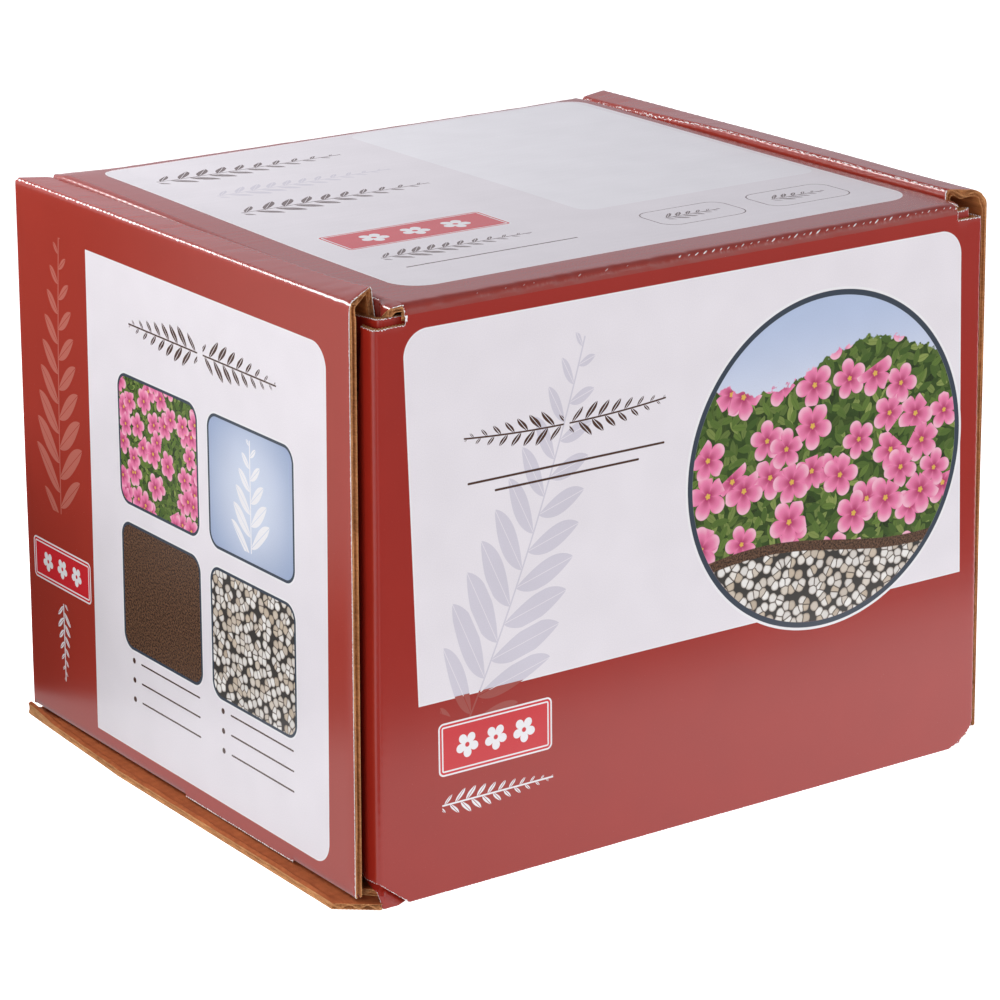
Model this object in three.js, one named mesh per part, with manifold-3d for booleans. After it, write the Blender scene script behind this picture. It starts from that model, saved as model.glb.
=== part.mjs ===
// Corrugated mailer carton with double side walls: a tray, a hinged lid with two dust flaps,
// and a front flap that folds down outside the front wall with its ears tucked into the side walls.
// Millimetres, +Z up, front face towards -Y, origin on the ground under the middle of the carton.
import * as THREE from "three";
import Module from "manifold-3d";
import { mergeVertices } from "three/addons/utils/BufferGeometryUtils.js";

const wasm = await Module();
wasm.setup();

// Driving dimensions
const BOARD = 3.5; // B-flute board
const GAP = 0.3; // between panels that touch
const WIDTH = 398; // over the side walls, at the rim
const DEPTH = 350; // front flap's face to back wall's face
const HEIGHT = 310; // ground to the outer fold of the rim
const LEAN = 4.5; // each side wall stands this far further out at the ground than at the rim
const LID_TOP = 307.5; // upper face of the closed lid
const RIM_WIDTH = 20.6; // outer face to inner face of a double side wall
const RIM_CURL = 3.5; // how far the inner fold of the left rim is pushed up at the front
const FOLD_RADIUS = BOARD; // outside radius of a crease

// The side walls stop short of the front face, and the inner walls a little further back
const SIDE_SETBACK = 9;
const INNER_SETBACK = 16.4;
const SIDE_END = 347;
const SIDE_FOOT = 5.6; // lower fold of an outer side wall
const INNER_END = 346;
const SLOT_EDGE = { front: 69, back: 178, drop: 1 }; // cut stretch in that lower fold

// Insets from the outer face of a side wall, measured at the rim
const EAR_INSET = 8;
const CORNER_INSET = 13.3;
const INNER_INSET = RIM_WIDTH - BOARD;
const LID_INSET = RIM_WIDTH + GAP;

// Front flap: notches at its top corners, cut-away bottom corners, tuck ears
const FLAP_FOOT = 0.8;
const NOTCH = { inset: 25.5, height: 297.9 };
const CORNER_CUT = { width: 17.5, height: 13.8 };
const EAR = { depth: 62, low: 60, foot: 17, footDepth: 24 };

// Front and back walls
const WALL_FRONT = 4; // front face to the front wall's outer face
const WALL_TOP = 301.2;
const CORNER_FLAP_DEPTH = 92;
const CORNER_FLAP_TAPER = 14;

// Lid's dust flaps
const DUST_FLAP = { length: 60, frontTop: 8, frontMid: 12, frontLow: 17, end: 334, taper: 12 };

// Bottom: the lower panel stands out past both side walls, the tray floor lies on it
const LEDGE = { front: 14, back: 8.5, mitreDepth: 15.5, mitreInset: 4, end: 349.5 };
const FLOOR_BASE = BOARD + GAP;
const FLOOR_TOP = FLOOR_BASE + BOARD;
const TAB = { starts: [90, 205], length: 60 }; // locking tabs under each inner wall

// Colours
const PRINT_RED = 0xa8402f;
const PRINT_PALE = 0xded9df;
const KRAFT = 0xb07a45;

const HALF_WIDTH = WIDTH / 2;
const FRONT_Y = -DEPTH / 2;
const BACK_Y = DEPTH / 2;
const LID_BOTTOM = LID_TOP - BOARD;
const WALL_BACK = DEPTH - BOARD - GAP; // front face to the back wall's inner face, less the gap
const FLOOR_FRONT = WALL_FRONT + BOARD + GAP;
const PANEL_FOOT = FLOOR_TOP + GAP;
const PANEL_HEAD = HEIGHT - BOARD - GAP; // top of the panels under the rim strip
const ARC_STEPS = 6;
const CURL_STEPS = 12;

function board(color, roughness) {
  return new THREE.MeshStandardMaterial({ color, roughness, metalness: 0 });
}

const printedRed = board(PRINT_RED, 0.3);
const printedPale = board(PRINT_PALE, 0.35);
const kraft = board(KRAFT, 0.9);

// Half-width of the carton at a height, for a panel this far in from the outer face
function halfWidth(inset, z) {
  return HALF_WIDTH - inset + LEAN * (1 - z / HEIGHT);
}

function outline(points) {
  return new THREE.Shape(points.map(([u, v]) => new THREE.Vector2(u, v)));
}

function plate(shape, thickness = BOARD, steps = 1) {
  return new THREE.ExtrudeGeometry(shape, {
    depth: thickness,
    steps,
    bevelEnabled: false,
    curveSegments: ARC_STEPS,
  });
}

// Shear a sideways plate so that it leans out towards the ground; local y is the height
function leanOut(geometry, side) {
  const position = geometry.getAttribute("position");
  for (let i = 0; i < position.count; i += 1) {
    const out = side * LEAN * (1 - position.getY(i) / HEIGHT);
    position.setZ(i, position.getZ(i) + out);
  }
  return geometry;
}

function named(name, geometry, material) {
  const mesh = new THREE.Mesh(geometry, material);
  mesh.name = name;
  return mesh;
}

// A panel parallel to the ground: shape in X and depth from the front face
function flatPanel(name, shape, bottom, material) {
  const mesh = named(name, plate(shape), material);
  mesh.position.set(0, FRONT_Y, bottom);
  return mesh;
}

// A panel parallel to the front: shape in X and Z, outer or front face at a depth
function frontalPanel(name, geometry, depthOfBackFace, material) {
  const mesh = named(name, geometry, material);
  mesh.rotation.x = Math.PI / 2;
  mesh.position.y = FRONT_Y + depthOfBackFace;
  return mesh;
}

// A panel parallel to a side wall: shape in depth and Z; inset runs to its outer face
const SIDEWAYS = new THREE.Matrix4().makeBasis(
  new THREE.Vector3(0, 1, 0),
  new THREE.Vector3(0, 0, 1),
  new THREE.Vector3(1, 0, 0),
);

function sidePanel(name, shape, side, inset, material, leaning = true) {
  const geometry = plate(shape);
  if (leaning) leanOut(geometry, side);
  const mesh = named(name, geometry, material);
  mesh.quaternion.setFromRotationMatrix(SIDEWAYS);
  const innerFace = HALF_WIDTH - inset - BOARD;
  const start = side > 0 ? innerFace : -(HALF_WIDTH - inset);
  mesh.position.set(start, FRONT_Y, 0);
  return mesh;
}

// Booleans on closed geometries
function solid(geometry) {
  const plain = geometry.clone();
  plain.deleteAttribute("normal");
  plain.deleteAttribute("uv");
  const merged = mergeVertices(plain);
  const mesh = new wasm.Mesh({
    numProp: 3,
    vertProperties: new Float32Array(merged.getAttribute("position").array),
    triVerts: new Uint32Array(merged.index.array),
  });
  return new wasm.Manifold(mesh);
}

function fromSolid(manifold) {
  const { vertProperties, triVerts } = manifold.getMesh();
  const geometry = new THREE.BufferGeometry();
  geometry.setAttribute("position", new THREE.Float32BufferAttribute(vertProperties, 3));
  geometry.setIndex(new THREE.Uint32BufferAttribute(triVerts, 1));
  geometry.computeVertexNormals();
  return geometry;
}

// Bottom panel: the ledges past the side walls narrow towards the back, with mitred front ends
function basePanel() {
  const wallSide = halfWidth(CORNER_INSET, 0) + GAP;
  const right = [
    [wallSide, FLOOR_FRONT],
    [wallSide, 0],
    [HALF_WIDTH - LEDGE.mitreInset, 0],
    [HALF_WIDTH + LEDGE.front, LEDGE.mitreDepth],
    [HALF_WIDTH + LEDGE.back, LEDGE.end],
    [wallSide, LEDGE.end],
    [wallSide, WALL_BACK],
  ];
  const left = right.map(([x, y]) => [-x, y]).reverse();
  return flatPanel("base_panel", outline([...right, ...left]), 0, kraft);
}

// Tray floor between the outer side walls, with slots for the inner walls' tabs
function trayFloor() {
  const half = halfWidth(BOARD + GAP, FLOOR_BASE);
  const shape = outline([
    [-half, FLOOR_FRONT],
    [half, FLOOR_FRONT],
    [half, WALL_BACK],
    [-half, WALL_BACK],
  ]);
  const slotOuter = halfWidth(INNER_INSET, FLOOR_BASE) + GAP;
  const slotInner = halfWidth(RIM_WIDTH, FLOOR_TOP) - GAP;
  const slotLength = TAB.length + 2 * GAP;
  let floor = solid(plate(shape));
  for (const side of [-1, 1]) {
    for (const start of TAB.starts) {
      const slot = new THREE.BoxGeometry(slotOuter - slotInner, slotLength, 3 * BOARD);
      slot.translate(side * (slotOuter + slotInner) / 2, start - GAP + slotLength / 2, BOARD / 2);
      floor = floor.subtract(solid(slot));
    }
  }
  const mesh = named("tray_floor", fromSolid(floor), kraft);
  mesh.position.set(0, FRONT_Y, FLOOR_BASE);
  return mesh;
}

// Front or back wall: its corners stand in from the side walls and follow their lean
function endWall(name, depthOfBackFace, top, material) {
  const shape = outline([
    [-halfWidth(CORNER_INSET, 0), 0],
    [halfWidth(CORNER_INSET, 0), 0],
    [halfWidth(CORNER_INSET, top), top],
    [-halfWidth(CORNER_INSET, top), top],
  ]);
  return frontalPanel(name, plate(shape), depthOfBackFace, material);
}

// Corner flap of an end wall, folded back between the two layers of a side wall
function cornerFlap(name, side, root, reach, top, material) {
  const towardsTip = Math.sign(reach);
  const tip = root + reach;
  const shape = outline([
    [root, PANEL_FOOT],
    [tip, PANEL_FOOT + CORNER_FLAP_TAPER],
    [tip, top - CORNER_FLAP_TAPER],
    [root + towardsTip * CORNER_FLAP_TAPER, top],
    [root, top],
  ]);
  return sidePanel(name, shape, side, CORNER_INSET, material);
}

// Outer layer of a side wall, with a short cut stretch standing below its lower fold
function outerWall(name, side) {
  const drop = SIDE_FOOT - SLOT_EDGE.drop;
  const shape = outline([
    [SIDE_SETBACK, SIDE_FOOT],
    [SLOT_EDGE.front, SIDE_FOOT],
    [SLOT_EDGE.front, drop],
    [SLOT_EDGE.back, drop],
    [SLOT_EDGE.back, SIDE_FOOT],
    [SIDE_END, SIDE_FOOT],
    [SIDE_END, PANEL_HEAD],
    [SIDE_SETBACK, PANEL_HEAD],
  ]);
  return sidePanel(name, shape, side, 0, side < 0 ? printedPale : printedRed);
}

// Inner layer of a side wall, with locking tabs that drop into the floor's slots
function innerWall(name, side, curl) {
  const tabFoot = FLOOR_BASE + GAP;
  const frontHead = PANEL_HEAD + curl * (INNER_INSET / RIM_WIDTH);
  const points = [[INNER_SETBACK, PANEL_FOOT]];
  for (const start of TAB.starts) {
    points.push([start, PANEL_FOOT], [start, tabFoot]);
    points.push([start + TAB.length, tabFoot], [start + TAB.length, PANEL_FOOT]);
  }
  points.push([INNER_END, PANEL_FOOT], [INNER_END, PANEL_HEAD], [INNER_SETBACK, frontHead]);
  return sidePanel(name, outline(points), side, INNER_INSET, printedRed);
}

// Strip along the top of a side wall, from the outer fold to the inner fold.
// Its front end is cut on a slant, and the inner fold may curl up there.
function rim(name, side, curl) {
  const under = HEIGHT - BOARD;
  const outerFold = HALF_WIDTH;
  const innerFold = HALF_WIDTH - RIM_WIDTH;
  const arcCentre = [outerFold - FOLD_RADIUS, under];
  const section = [[innerFold, under], [outerFold, under]];
  for (let step = 1; step <= ARC_STEPS; step += 1) {
    const angle = (step / ARC_STEPS) * (Math.PI / 2);
    section.push([
      arcCentre[0] + FOLD_RADIUS * Math.cos(angle),
      arcCentre[1] + FOLD_RADIUS * Math.sin(angle),
    ]);
  }
  section.push([innerFold, HEIGHT]);
  const length = SIDE_END - SIDE_SETBACK;
  const shape = outline(section.map(([x, z]) => [side * x, z]));
  const geometry = plate(shape, length, CURL_STEPS);
  const position = geometry.getAttribute("position");
  const slant = INNER_SETBACK - SIDE_SETBACK;
  for (let i = 0; i < position.count; i += 1) {
    const inward = (HALF_WIDTH - Math.abs(position.getX(i))) / RIM_WIDTH;
    const forward = position.getZ(i) / length;
    position.setY(i, position.getY(i) + curl * inward * forward);
    position.setZ(i, position.getZ(i) - slant * inward * forward);
  }
  geometry.computeVertexNormals();
  return frontalPanel(name, geometry, SIDE_END, printedRed);
}

// Lid panel with rounded folds along its sides and its back edge
function lidPanel() {
  const half = HALF_WIDTH - LID_INSET;
  const front = BOARD + GAP;
  const across = new THREE.Shape();
  across.moveTo(-half, LID_BOTTOM);
  across.lineTo(half, LID_BOTTOM);
  across.absarc(half - FOLD_RADIUS, LID_BOTTOM, FOLD_RADIUS, 0, Math.PI / 2, false);
  across.lineTo(-half + FOLD_RADIUS, LID_TOP);
  across.absarc(-half + FOLD_RADIUS, LID_BOTTOM, FOLD_RADIUS, Math.PI / 2, Math.PI, false);
  const acrossSolid = plate(across, DEPTH);
  acrossSolid.rotateX(Math.PI / 2);
  acrossSolid.translate(0, BACK_Y, 0);

  const along = new THREE.Shape();
  along.moveTo(front, LID_BOTTOM);
  along.lineTo(DEPTH, LID_BOTTOM);
  along.absarc(DEPTH - FOLD_RADIUS, LID_BOTTOM, FOLD_RADIUS, 0, Math.PI / 2, false);
  along.lineTo(front, LID_TOP);
  const alongSolid = plate(along, WIDTH);
  alongSolid.applyMatrix4(SIDEWAYS);
  alongSolid.translate(-HALF_WIDTH, FRONT_Y, 0);

  const geometry = fromSolid(solid(acrossSolid).intersect(solid(alongSolid)));
  return named("lid_panel", geometry, printedPale);
}

// Dust flap folded down from the lid's side edge, its front edge cut back to clear the front wall
function dustFlap(name, side) {
  const top = LID_BOTTOM - GAP;
  const foot = top - DUST_FLAP.length;
  const shape = outline([
    [DUST_FLAP.frontTop, top],
    [DUST_FLAP.frontMid, top - DUST_FLAP.taper / 2],
    [DUST_FLAP.frontLow, foot + DUST_FLAP.taper],
    [DUST_FLAP.frontLow + DUST_FLAP.taper, foot],
    [DUST_FLAP.end - DUST_FLAP.taper, foot],
    [DUST_FLAP.end, foot + DUST_FLAP.taper],
    [DUST_FLAP.end, top],
  ]);
  return sidePanel(name, shape, side, LID_INSET, printedRed, false);
}

// Front flap: notched top corners, rounded cut-away bottom corners and a rounded top fold
function frontFlapPanel() {
  const cutHalf = halfWidth(EAR_INSET, CORNER_CUT.height);
  const footHalf = cutHalf - CORNER_CUT.width;
  const notchHalf = HALF_WIDTH - NOTCH.inset;
  const shoulder = halfWidth(EAR_INSET, NOTCH.height);
  const foldBottom = LID_TOP - FOLD_RADIUS;
  const shape = new THREE.Shape();
  shape.moveTo(-footHalf, FLAP_FOOT);
  shape.lineTo(footHalf, FLAP_FOOT);
  shape.quadraticCurveTo(cutHalf - CORNER_CUT.width / 3, FLAP_FOOT + CORNER_CUT.height / 4,
    cutHalf, CORNER_CUT.height);
  shape.lineTo(shoulder, NOTCH.height);
  shape.lineTo(notchHalf, NOTCH.height);
  shape.lineTo(notchHalf, foldBottom);
  shape.lineTo(-notchHalf, foldBottom);
  shape.lineTo(-notchHalf, NOTCH.height);
  shape.lineTo(-shoulder, NOTCH.height);
  shape.lineTo(-cutHalf, CORNER_CUT.height);
  shape.quadraticCurveTo(-cutHalf + CORNER_CUT.width / 3, FLAP_FOOT + CORNER_CUT.height / 4,
    -footHalf, FLAP_FOOT);
  const face = plate(shape);
  face.rotateX(Math.PI / 2);
  face.translate(0, FRONT_Y + BOARD, 0);

  const fold = new THREE.Shape();
  fold.moveTo(BOARD, foldBottom - BOARD);
  fold.absarc(BOARD, foldBottom, FOLD_RADIUS, Math.PI / 2, Math.PI, false);
  fold.lineTo(0, foldBottom - BOARD);
  const foldBar = plate(fold, 2 * notchHalf);
  foldBar.applyMatrix4(SIDEWAYS);
  foldBar.translate(-notchHalf, FRONT_Y, 0);

  const geometry = fromSolid(solid(face).add(solid(foldBar)));
  return named("front_flap_panel", geometry, printedPale);
}

// Tuck ear: its rear edge is the arc that lets it leave the side wall as the lid swings up
function ear(name, side) {
  const root = BOARD + GAP;
  const rimClearance = 2 * GAP;
  const rimFront = SIDE_SETBACK
    + (INNER_SETBACK - SIDE_SETBACK) * (EAR_INSET / RIM_WIDTH) - rimClearance;
  const swing = 2 * (DEPTH - SIDE_SETBACK);
  const rearAt = (z) => Math.min(rimFront + (LID_TOP - z) ** 2 / swing, EAR.depth);
  const top = NOTCH.height - GAP;
  const fullDepthZ = LID_TOP - Math.sqrt((EAR.depth - rimFront) * swing);
  const rearSteps = 8;
  const points = [[root, CORNER_CUT.height + GAP], [EAR.footDepth, EAR.foot], [EAR.depth, EAR.low]];
  for (let step = 0; step <= rearSteps; step += 1) {
    const z = fullDepthZ + (top - fullDepthZ) * (step / rearSteps);
    points.push([rearAt(z), z]);
  }
  points.push([root, top]);
  return sidePanel(name, outline(points), side, EAR_INSET, printedRed);
}

const tray = new THREE.Group();
const lid = new THREE.Group();
const frontFlap = new THREE.Group();
const carton = new THREE.Group();

tray.add(basePanel(), trayFloor());
tray.add(endWall("front_wall", WALL_FRONT + BOARD, WALL_TOP, printedRed));
tray.add(endWall("back_wall", DEPTH, LID_BOTTOM - GAP, printedRed));

const SIDES = [["left", -1, RIM_CURL], ["right", 1, 0]];
for (const [label, side, curl] of SIDES) {
  tray.add(
    outerWall(`outer_wall_${label}`, side),
    rim(`rim_${label}`, side, curl),
    innerWall(`inner_wall_${label}`, side, curl),
    cornerFlap(`front_corner_flap_${label}`, side, FLOOR_FRONT, CORNER_FLAP_DEPTH, WALL_TOP, printedRed),
    cornerFlap(`back_corner_flap_${label}`, side, WALL_BACK, -CORNER_FLAP_DEPTH, WALL_TOP, printedRed),
  );
  lid.add(dustFlap(`dust_flap_${label}`, side));
  frontFlap.add(ear(`front_flap_ear_${label}`, side));
}

frontFlap.add(frontFlapPanel());
lid.add(lidPanel(), frontFlap);
carton.add(tray, lid);

export default carton;
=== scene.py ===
"""Looks for the corrugated mailer carton: folded board with printed liner, cut edges and creases.

Lengths are in millimetres in a working frame until a mesh is made: x runs from the left side wall's
outer face at the rim, y from the front flap's face to the back, z up from the ground.
"""
import math

import bpy
import numpy as np
from mathutils import Matrix, Vector
from mathutils.geometry import delaunay_2d_cdt


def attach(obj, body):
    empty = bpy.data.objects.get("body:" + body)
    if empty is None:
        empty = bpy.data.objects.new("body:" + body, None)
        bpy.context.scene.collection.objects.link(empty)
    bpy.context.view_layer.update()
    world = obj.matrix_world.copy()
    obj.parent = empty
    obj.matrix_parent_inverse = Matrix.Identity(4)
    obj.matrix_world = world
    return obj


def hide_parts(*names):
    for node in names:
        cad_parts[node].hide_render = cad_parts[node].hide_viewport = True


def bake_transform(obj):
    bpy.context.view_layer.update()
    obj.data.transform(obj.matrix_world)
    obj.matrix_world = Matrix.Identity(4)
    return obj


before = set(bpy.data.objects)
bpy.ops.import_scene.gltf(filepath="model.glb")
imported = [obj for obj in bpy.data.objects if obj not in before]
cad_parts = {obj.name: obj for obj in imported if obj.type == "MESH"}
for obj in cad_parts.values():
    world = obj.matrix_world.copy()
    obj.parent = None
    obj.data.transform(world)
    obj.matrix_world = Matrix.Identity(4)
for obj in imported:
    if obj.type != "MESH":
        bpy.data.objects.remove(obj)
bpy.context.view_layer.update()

# ---------------------------------------------------------------- sizes, as in the part's source
BOARD = 3.5
WIDTH = 398.0
DEPTH = 350.0
HEIGHT = 310.0
LEAN = 4.5
LID_TOP = 307.5
RIM_WIDTH = 20.6
RIM_CURL = 3.5
SIDE_FRONT, SIDE_BACK, SIDE_FOOT = 9.0, 349.8, 5.6
INNER_FRONT, INNER_BACK = 16.4, 346.0
FLAP_FOOT = 0.15
NOTCH_X, NOTCH_Z = 25.5, 297.9
WALL_FRONT, WALL_TOP = 4.0, 301.2
FLUTE = 6.2
INNER_FOOT = 7.6    # where the inner side walls end above the ground
WALL_INSET = 13.3   # the end walls' outer corners from the rim's outer face, before the lean
BACK_TOP = 301.0    # where the back wall's sheet meets the rear fold
SEAM_Z = 302.0      # where the front flap's sheet meets the lid's folded front edge
SEAM_BACK = 344.0   # where the lid's sheet meets the rear fold
FOLD_FOOT = 200.0   # height that the sections of the dust flaps and the rear fold are drawn down to
SUFFIX = {-1: "left", 1: "right"}


def place(x, y, z):
    """A point of the working frame in the part's frame, in metres."""
    return ((x - WIDTH / 2) / 1000, (y - DEPTH / 2) / 1000, z / 1000)


# ---------------------------------------------------------------- noise
def hashed(i, seed):
    v = np.sin(i * 12.9898 + seed * 78.233 + 0.5) * 43758.5453
    return v - np.floor(v)


def noise1(x, seed):
    x = np.asarray(x, float)
    i = np.floor(x)
    f = x - i
    f = f * f * (3 - 2 * f)
    return (1 - f) * hashed(i, seed) + f * hashed(i + 1, seed)


def noise2(x, y, seed):
    x, y = np.broadcast_arrays(np.asarray(x, float), np.asarray(y, float))
    i, j = np.floor(x), np.floor(y)
    fx, fy = x - i, y - j
    fx, fy = fx * fx * (3 - 2 * fx), fy * fy * (3 - 2 * fy)

    def corner(di, dj):
        return hashed((i + di) + 57.0 * (j + dj), seed)

    low = (1 - fx) * corner(0, 0) + fx * corner(1, 0)
    high = (1 - fx) * corner(0, 1) + fx * corner(1, 1)
    return (1 - fy) * low + fy * high


def gauss(x, width):
    return np.exp(-(np.asarray(x, float) / width) ** 2)


def step01(x, a, b):
    t = np.clip((np.asarray(x, float) - a) / (b - a), 0, 1)
    return t * t * (3 - 2 * t)


# ---------------------------------------------------------------- folding a flat sheet
def rows(n, *values):
    """An N x 2 array from two values or arrays."""
    return np.stack([np.broadcast_to(np.asarray(v, float), (n,)) for v in values], axis=1)


def unit(v):
    return v / np.maximum(np.linalg.norm(v, axis=1), 1e-9)[:, None]


def walk(s, knots, starts, soft):
    """Points on a polyline by arc length, each inner corner rounded over its `soft` on both sides."""
    count = len(knots) - 1
    point = np.zeros((len(s), 2))
    for k in range(count):
        here = (s >= starts[k]) if k else np.ones(len(s), bool)
        t = ((s - starts[k]) / (starts[k + 1] - starts[k]))[:, None]
        p = knots[k] + (knots[k + 1] - knots[k]) * t
        point[here] = p[here]
    for k in range(1, count):
        a = soft[k - 1] * np.ones(len(s))
        t = (s - (starts[k] - a)) / (2 * a)
        inside = (t > 0) & (t < 1)
        t = np.clip(t, 0, 1)[:, None]
        back = (a / (starts[k] - starts[k - 1]))[:, None]
        fore = (a / (starts[k + 1] - starts[k]))[:, None]
        before = knots[k] + (knots[k - 1] - knots[k]) * back
        after = knots[k] + (knots[k + 1] - knots[k]) * fore
        p = (1 - t) ** 2 * before + 2 * t * (1 - t) * knots[k] + t ** 2 * after
        point[inside] = p[inside]
    return point


def section(s, h, knots, lengths, hand, soft, soft_inner=0.9):
    """A bent board's section: outer line through the knots, inner line one board thickness inside it.

    hand is +1 where the outward normal is to the left of the walk. h is measured out of the outer face.
    """
    n = len(s)
    starts = [np.zeros(n)]
    for length in lengths:
        starts.append(starts[-1] + length)
    normals = []
    for a, b in zip(knots[:-1], knots[1:]):
        t = unit(b - a)
        normals.append(hand * np.stack([-t[:, 1], t[:, 0]], axis=1))
    inner = [knots[0] - BOARD * normals[0]]
    for k in range(1, len(knots) - 1):
        both = normals[k - 1] + normals[k]
        scale = 1 + np.sum(normals[k - 1] * normals[k], axis=1)
        inner.append(knots[k] - BOARD * both / scale[:, None])
    inner.append(knots[-1] - BOARD * normals[-1])
    outer_line = walk(s, knots, starts, soft)
    inner_line = walk(s, inner, starts, [soft_inner] * len(soft))
    return outer_line + (inner_line - outer_line) * (-h / BOARD)[:, None]


def lean_at(z):
    return LEAN * (1 - np.asarray(z, float) / HEIGHT)


L_OUT = HEIGHT - SIDE_FOOT
L_IN = HEIGHT - INNER_FOOT


def rim_curl(y, side):
    """How far the rim's inner fold stands above the outer one."""
    if side > 0:
        return 0.5 * (noise1(y / 37.0, 3) - 0.5) - 1.6 + 3.3 * step01(SIDE_BACK - y, 0, 150)
    forward = np.clip((SIDE_BACK - y) / (SIDE_BACK - 20.0), 0, 1)
    return -1.7 + (RIM_CURL + 1.6) * (0.5 * forward + 0.5 * forward ** 14)


def side_fold(side):
    """Double side wall: v runs up the outer wall, across the rim and down the inner wall; u is y."""
    def fold(u, v, h):
        n = len(u)
        soft = (2.6, 1.6) if side < 0 else (6.5 - 3.5 * step01(u, 20, 200), 3.0)
        knots = [
            rows(n, -lean_at(SIDE_FOOT), SIDE_FOOT),
            rows(n, 0.0, HEIGHT),
            rows(n, RIM_WIDTH, HEIGHT + rim_curl(u, side)),
            rows(n, RIM_WIDTH - lean_at(INNER_FOOT), INNER_FOOT),
        ]
        q = section(v, h, knots, [L_OUT, RIM_WIDTH, L_IN], 1, soft, 0.9 if side < 0 else 3.0)
        x = q[:, 0] if side < 0 else WIDTH - q[:, 0]
        return np.stack([x, u, q[:, 1]], axis=1)
    return fold


def lid_rise(x, y):
    """How far the lid stands above its flat height: swollen at the rear, dipped at the front corners."""
    swell = 2.7 * gauss(x - NOTCH_X, 24) + 0.9 * gauss(WIDTH - NOTCH_X - x, 24)
    swell = swell * step01(y, 110, 325) * (1 - 0.55 * step01(y, 334, DEPTH))
    crushed = 0.2 * gauss(x - NOTCH_X, 1.6) + 1.0 * gauss(WIDTH - NOTCH_X - x, 3.0)
    return swell - crushed * gauss(y, 5.0)


def lid_fold(u, v, h):
    """Lid and its front fold: v runs from the rear seam to the front, then down; u is x."""
    n = len(u)
    knots = [rows(n, SEAM_BACK, LID_TOP), rows(n, 0.0, LID_TOP), rows(n, 0.0, 0.0)]
    q = section(v, h, knots, [SEAM_BACK, LID_TOP], -1, (4.2,))
    z = q[:, 1] + lid_rise(u, q[:, 0]) * step01(q[:, 1], SEAM_Z, LID_TOP - 2.0)
    return np.stack([u, q[:, 0], z], axis=1)


def dust_fold(side):
    """Side fold of the lid and the dust flap: v runs from the lid outwards, then down; u is y."""
    edge = RIM_WIDTH + 0.3

    def fold(u, v, h):
        n = len(u)
        knots = [rows(n, NOTCH_X, LID_TOP), rows(n, edge, LID_TOP), rows(n, edge, FOLD_FOOT)]
        q = section(v, h, knots, [NOTCH_X - edge, LID_TOP - FOLD_FOOT], -1, (4.0,))
        if side < 0:
            sprung = (1 - step01(u, 8, 16)) * step01(v, 0.6, 5.0)   # outwards before the rim begins
            q[:, 0] -= 3.4 * sprung
        x = q[:, 0] if side < 0 else WIDTH - q[:, 0]
        at_lid = NOTCH_X if side < 0 else WIDTH - NOTCH_X
        z = q[:, 1] + lid_rise(at_lid, u) * (1 - step01(v, 3.0, 22.0))
        return np.stack([x, u, z], axis=1)
    return fold


def back_fold_map(u, v, h):
    """Rear fold: v runs up the back wall from FOLD_FOOT, then forwards over the top; u is x."""
    n = len(u)
    knots = [rows(n, DEPTH, FOLD_FOOT), rows(n, DEPTH, LID_TOP), rows(n, 0.0, LID_TOP)]
    q = section(v, h, knots, [LID_TOP - FOLD_FOOT, DEPTH], -1, (4.2,))
    z = q[:, 1] + lid_rise(u, q[:, 0]) * step01(q[:, 1], BACK_TOP, LID_TOP - 2.0)
    return np.stack([u, q[:, 0], z], axis=1)


def box_fold(inset, face, inward, soft_right=3.6, inset_right=0.0):
    """An end wall or flap with side flaps folded at leaning creases. u is unfolded x, v is z."""
    def fold(u, v, h):
        n = len(u)
        mirrored = u > WIDTH / 2
        left = inset - lean_at(v) + inset_right * mirrored
        soft = np.where(mirrored, soft_right, 2.8)
        s = WIDTH / 2 - np.where(mirrored, WIDTH - u, u)
        knots = [rows(n, WIDTH / 2, 0.0), rows(n, left, 0.0), rows(n, left, 150.0)]
        q = section(s, h, knots, [WIDTH / 2 - left, 150.0 * np.ones(n)], 1, (soft,))
        x = np.where(mirrored, WIDTH - q[:, 0], q[:, 0])
        return np.stack([x, face + inward * q[:, 1], v], axis=1)
    return fold


def flat_fold(top):
    """A board lying flat, its upper face at height `top`; u is x and v is y."""
    def fold(u, v, h):
        return np.stack([u, v, top + h], axis=1)
    return fold


# ---------------------------------------------------------------- outlines
def inside_polygon(points, polygon):
    x, y = points[:, 0], points[:, 1]
    result = np.zeros(len(points), bool)
    a = np.asarray(polygon, float)
    b = np.roll(a, -1, axis=0)
    for (x0, y0), (x1, y1) in zip(a, b):
        if y0 == y1:
            continue
        crosses = (y0 > y) != (y1 > y)
        result ^= crosses & (x < (x1 - x0) * (y - y0) / (y1 - y0) + x0)
    return result


def distance_to_polygon(points, polygon):
    a = np.asarray(polygon, float)
    b = np.roll(a, -1, axis=0)
    best = np.full(len(points), 1e9)
    for p, q in zip(a, b):
        d = q - p
        length2 = max(d @ d, 1e-12)
        t = np.clip(((points - p) @ d) / length2, 0, 1)
        near = p + t[:, None] * d
        best = np.minimum(best, np.linalg.norm(points - near, axis=1))
    return best


# How an edge of a sheet is finished: sampling step, depth of the cutting rule's teeth, how open the cut is
EDGE_KINDS = {
    "cut": (0.5, 0.34, 1.0),     # die-cut edge with a serrated liner
    "ragged": (0.5, 0.60, 1.0),  # the same with larger teeth
    "tidy": (0.6, 0.06, 0.45),   # cut with no white showing
    "clean": (0.6, 0.08, 0.75),  # cut with an even liner
    "hidden": (2.0, 0.0, 0.5),
    "seam": (1.5, 0.0, 0.0),     # meets another sheet of the same liner
    "folded": (1.5, 0.0, 0.0),   # turned under, so the print runs round it
    "crushed": (0.8, 0.05, 0.0),
}


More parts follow.
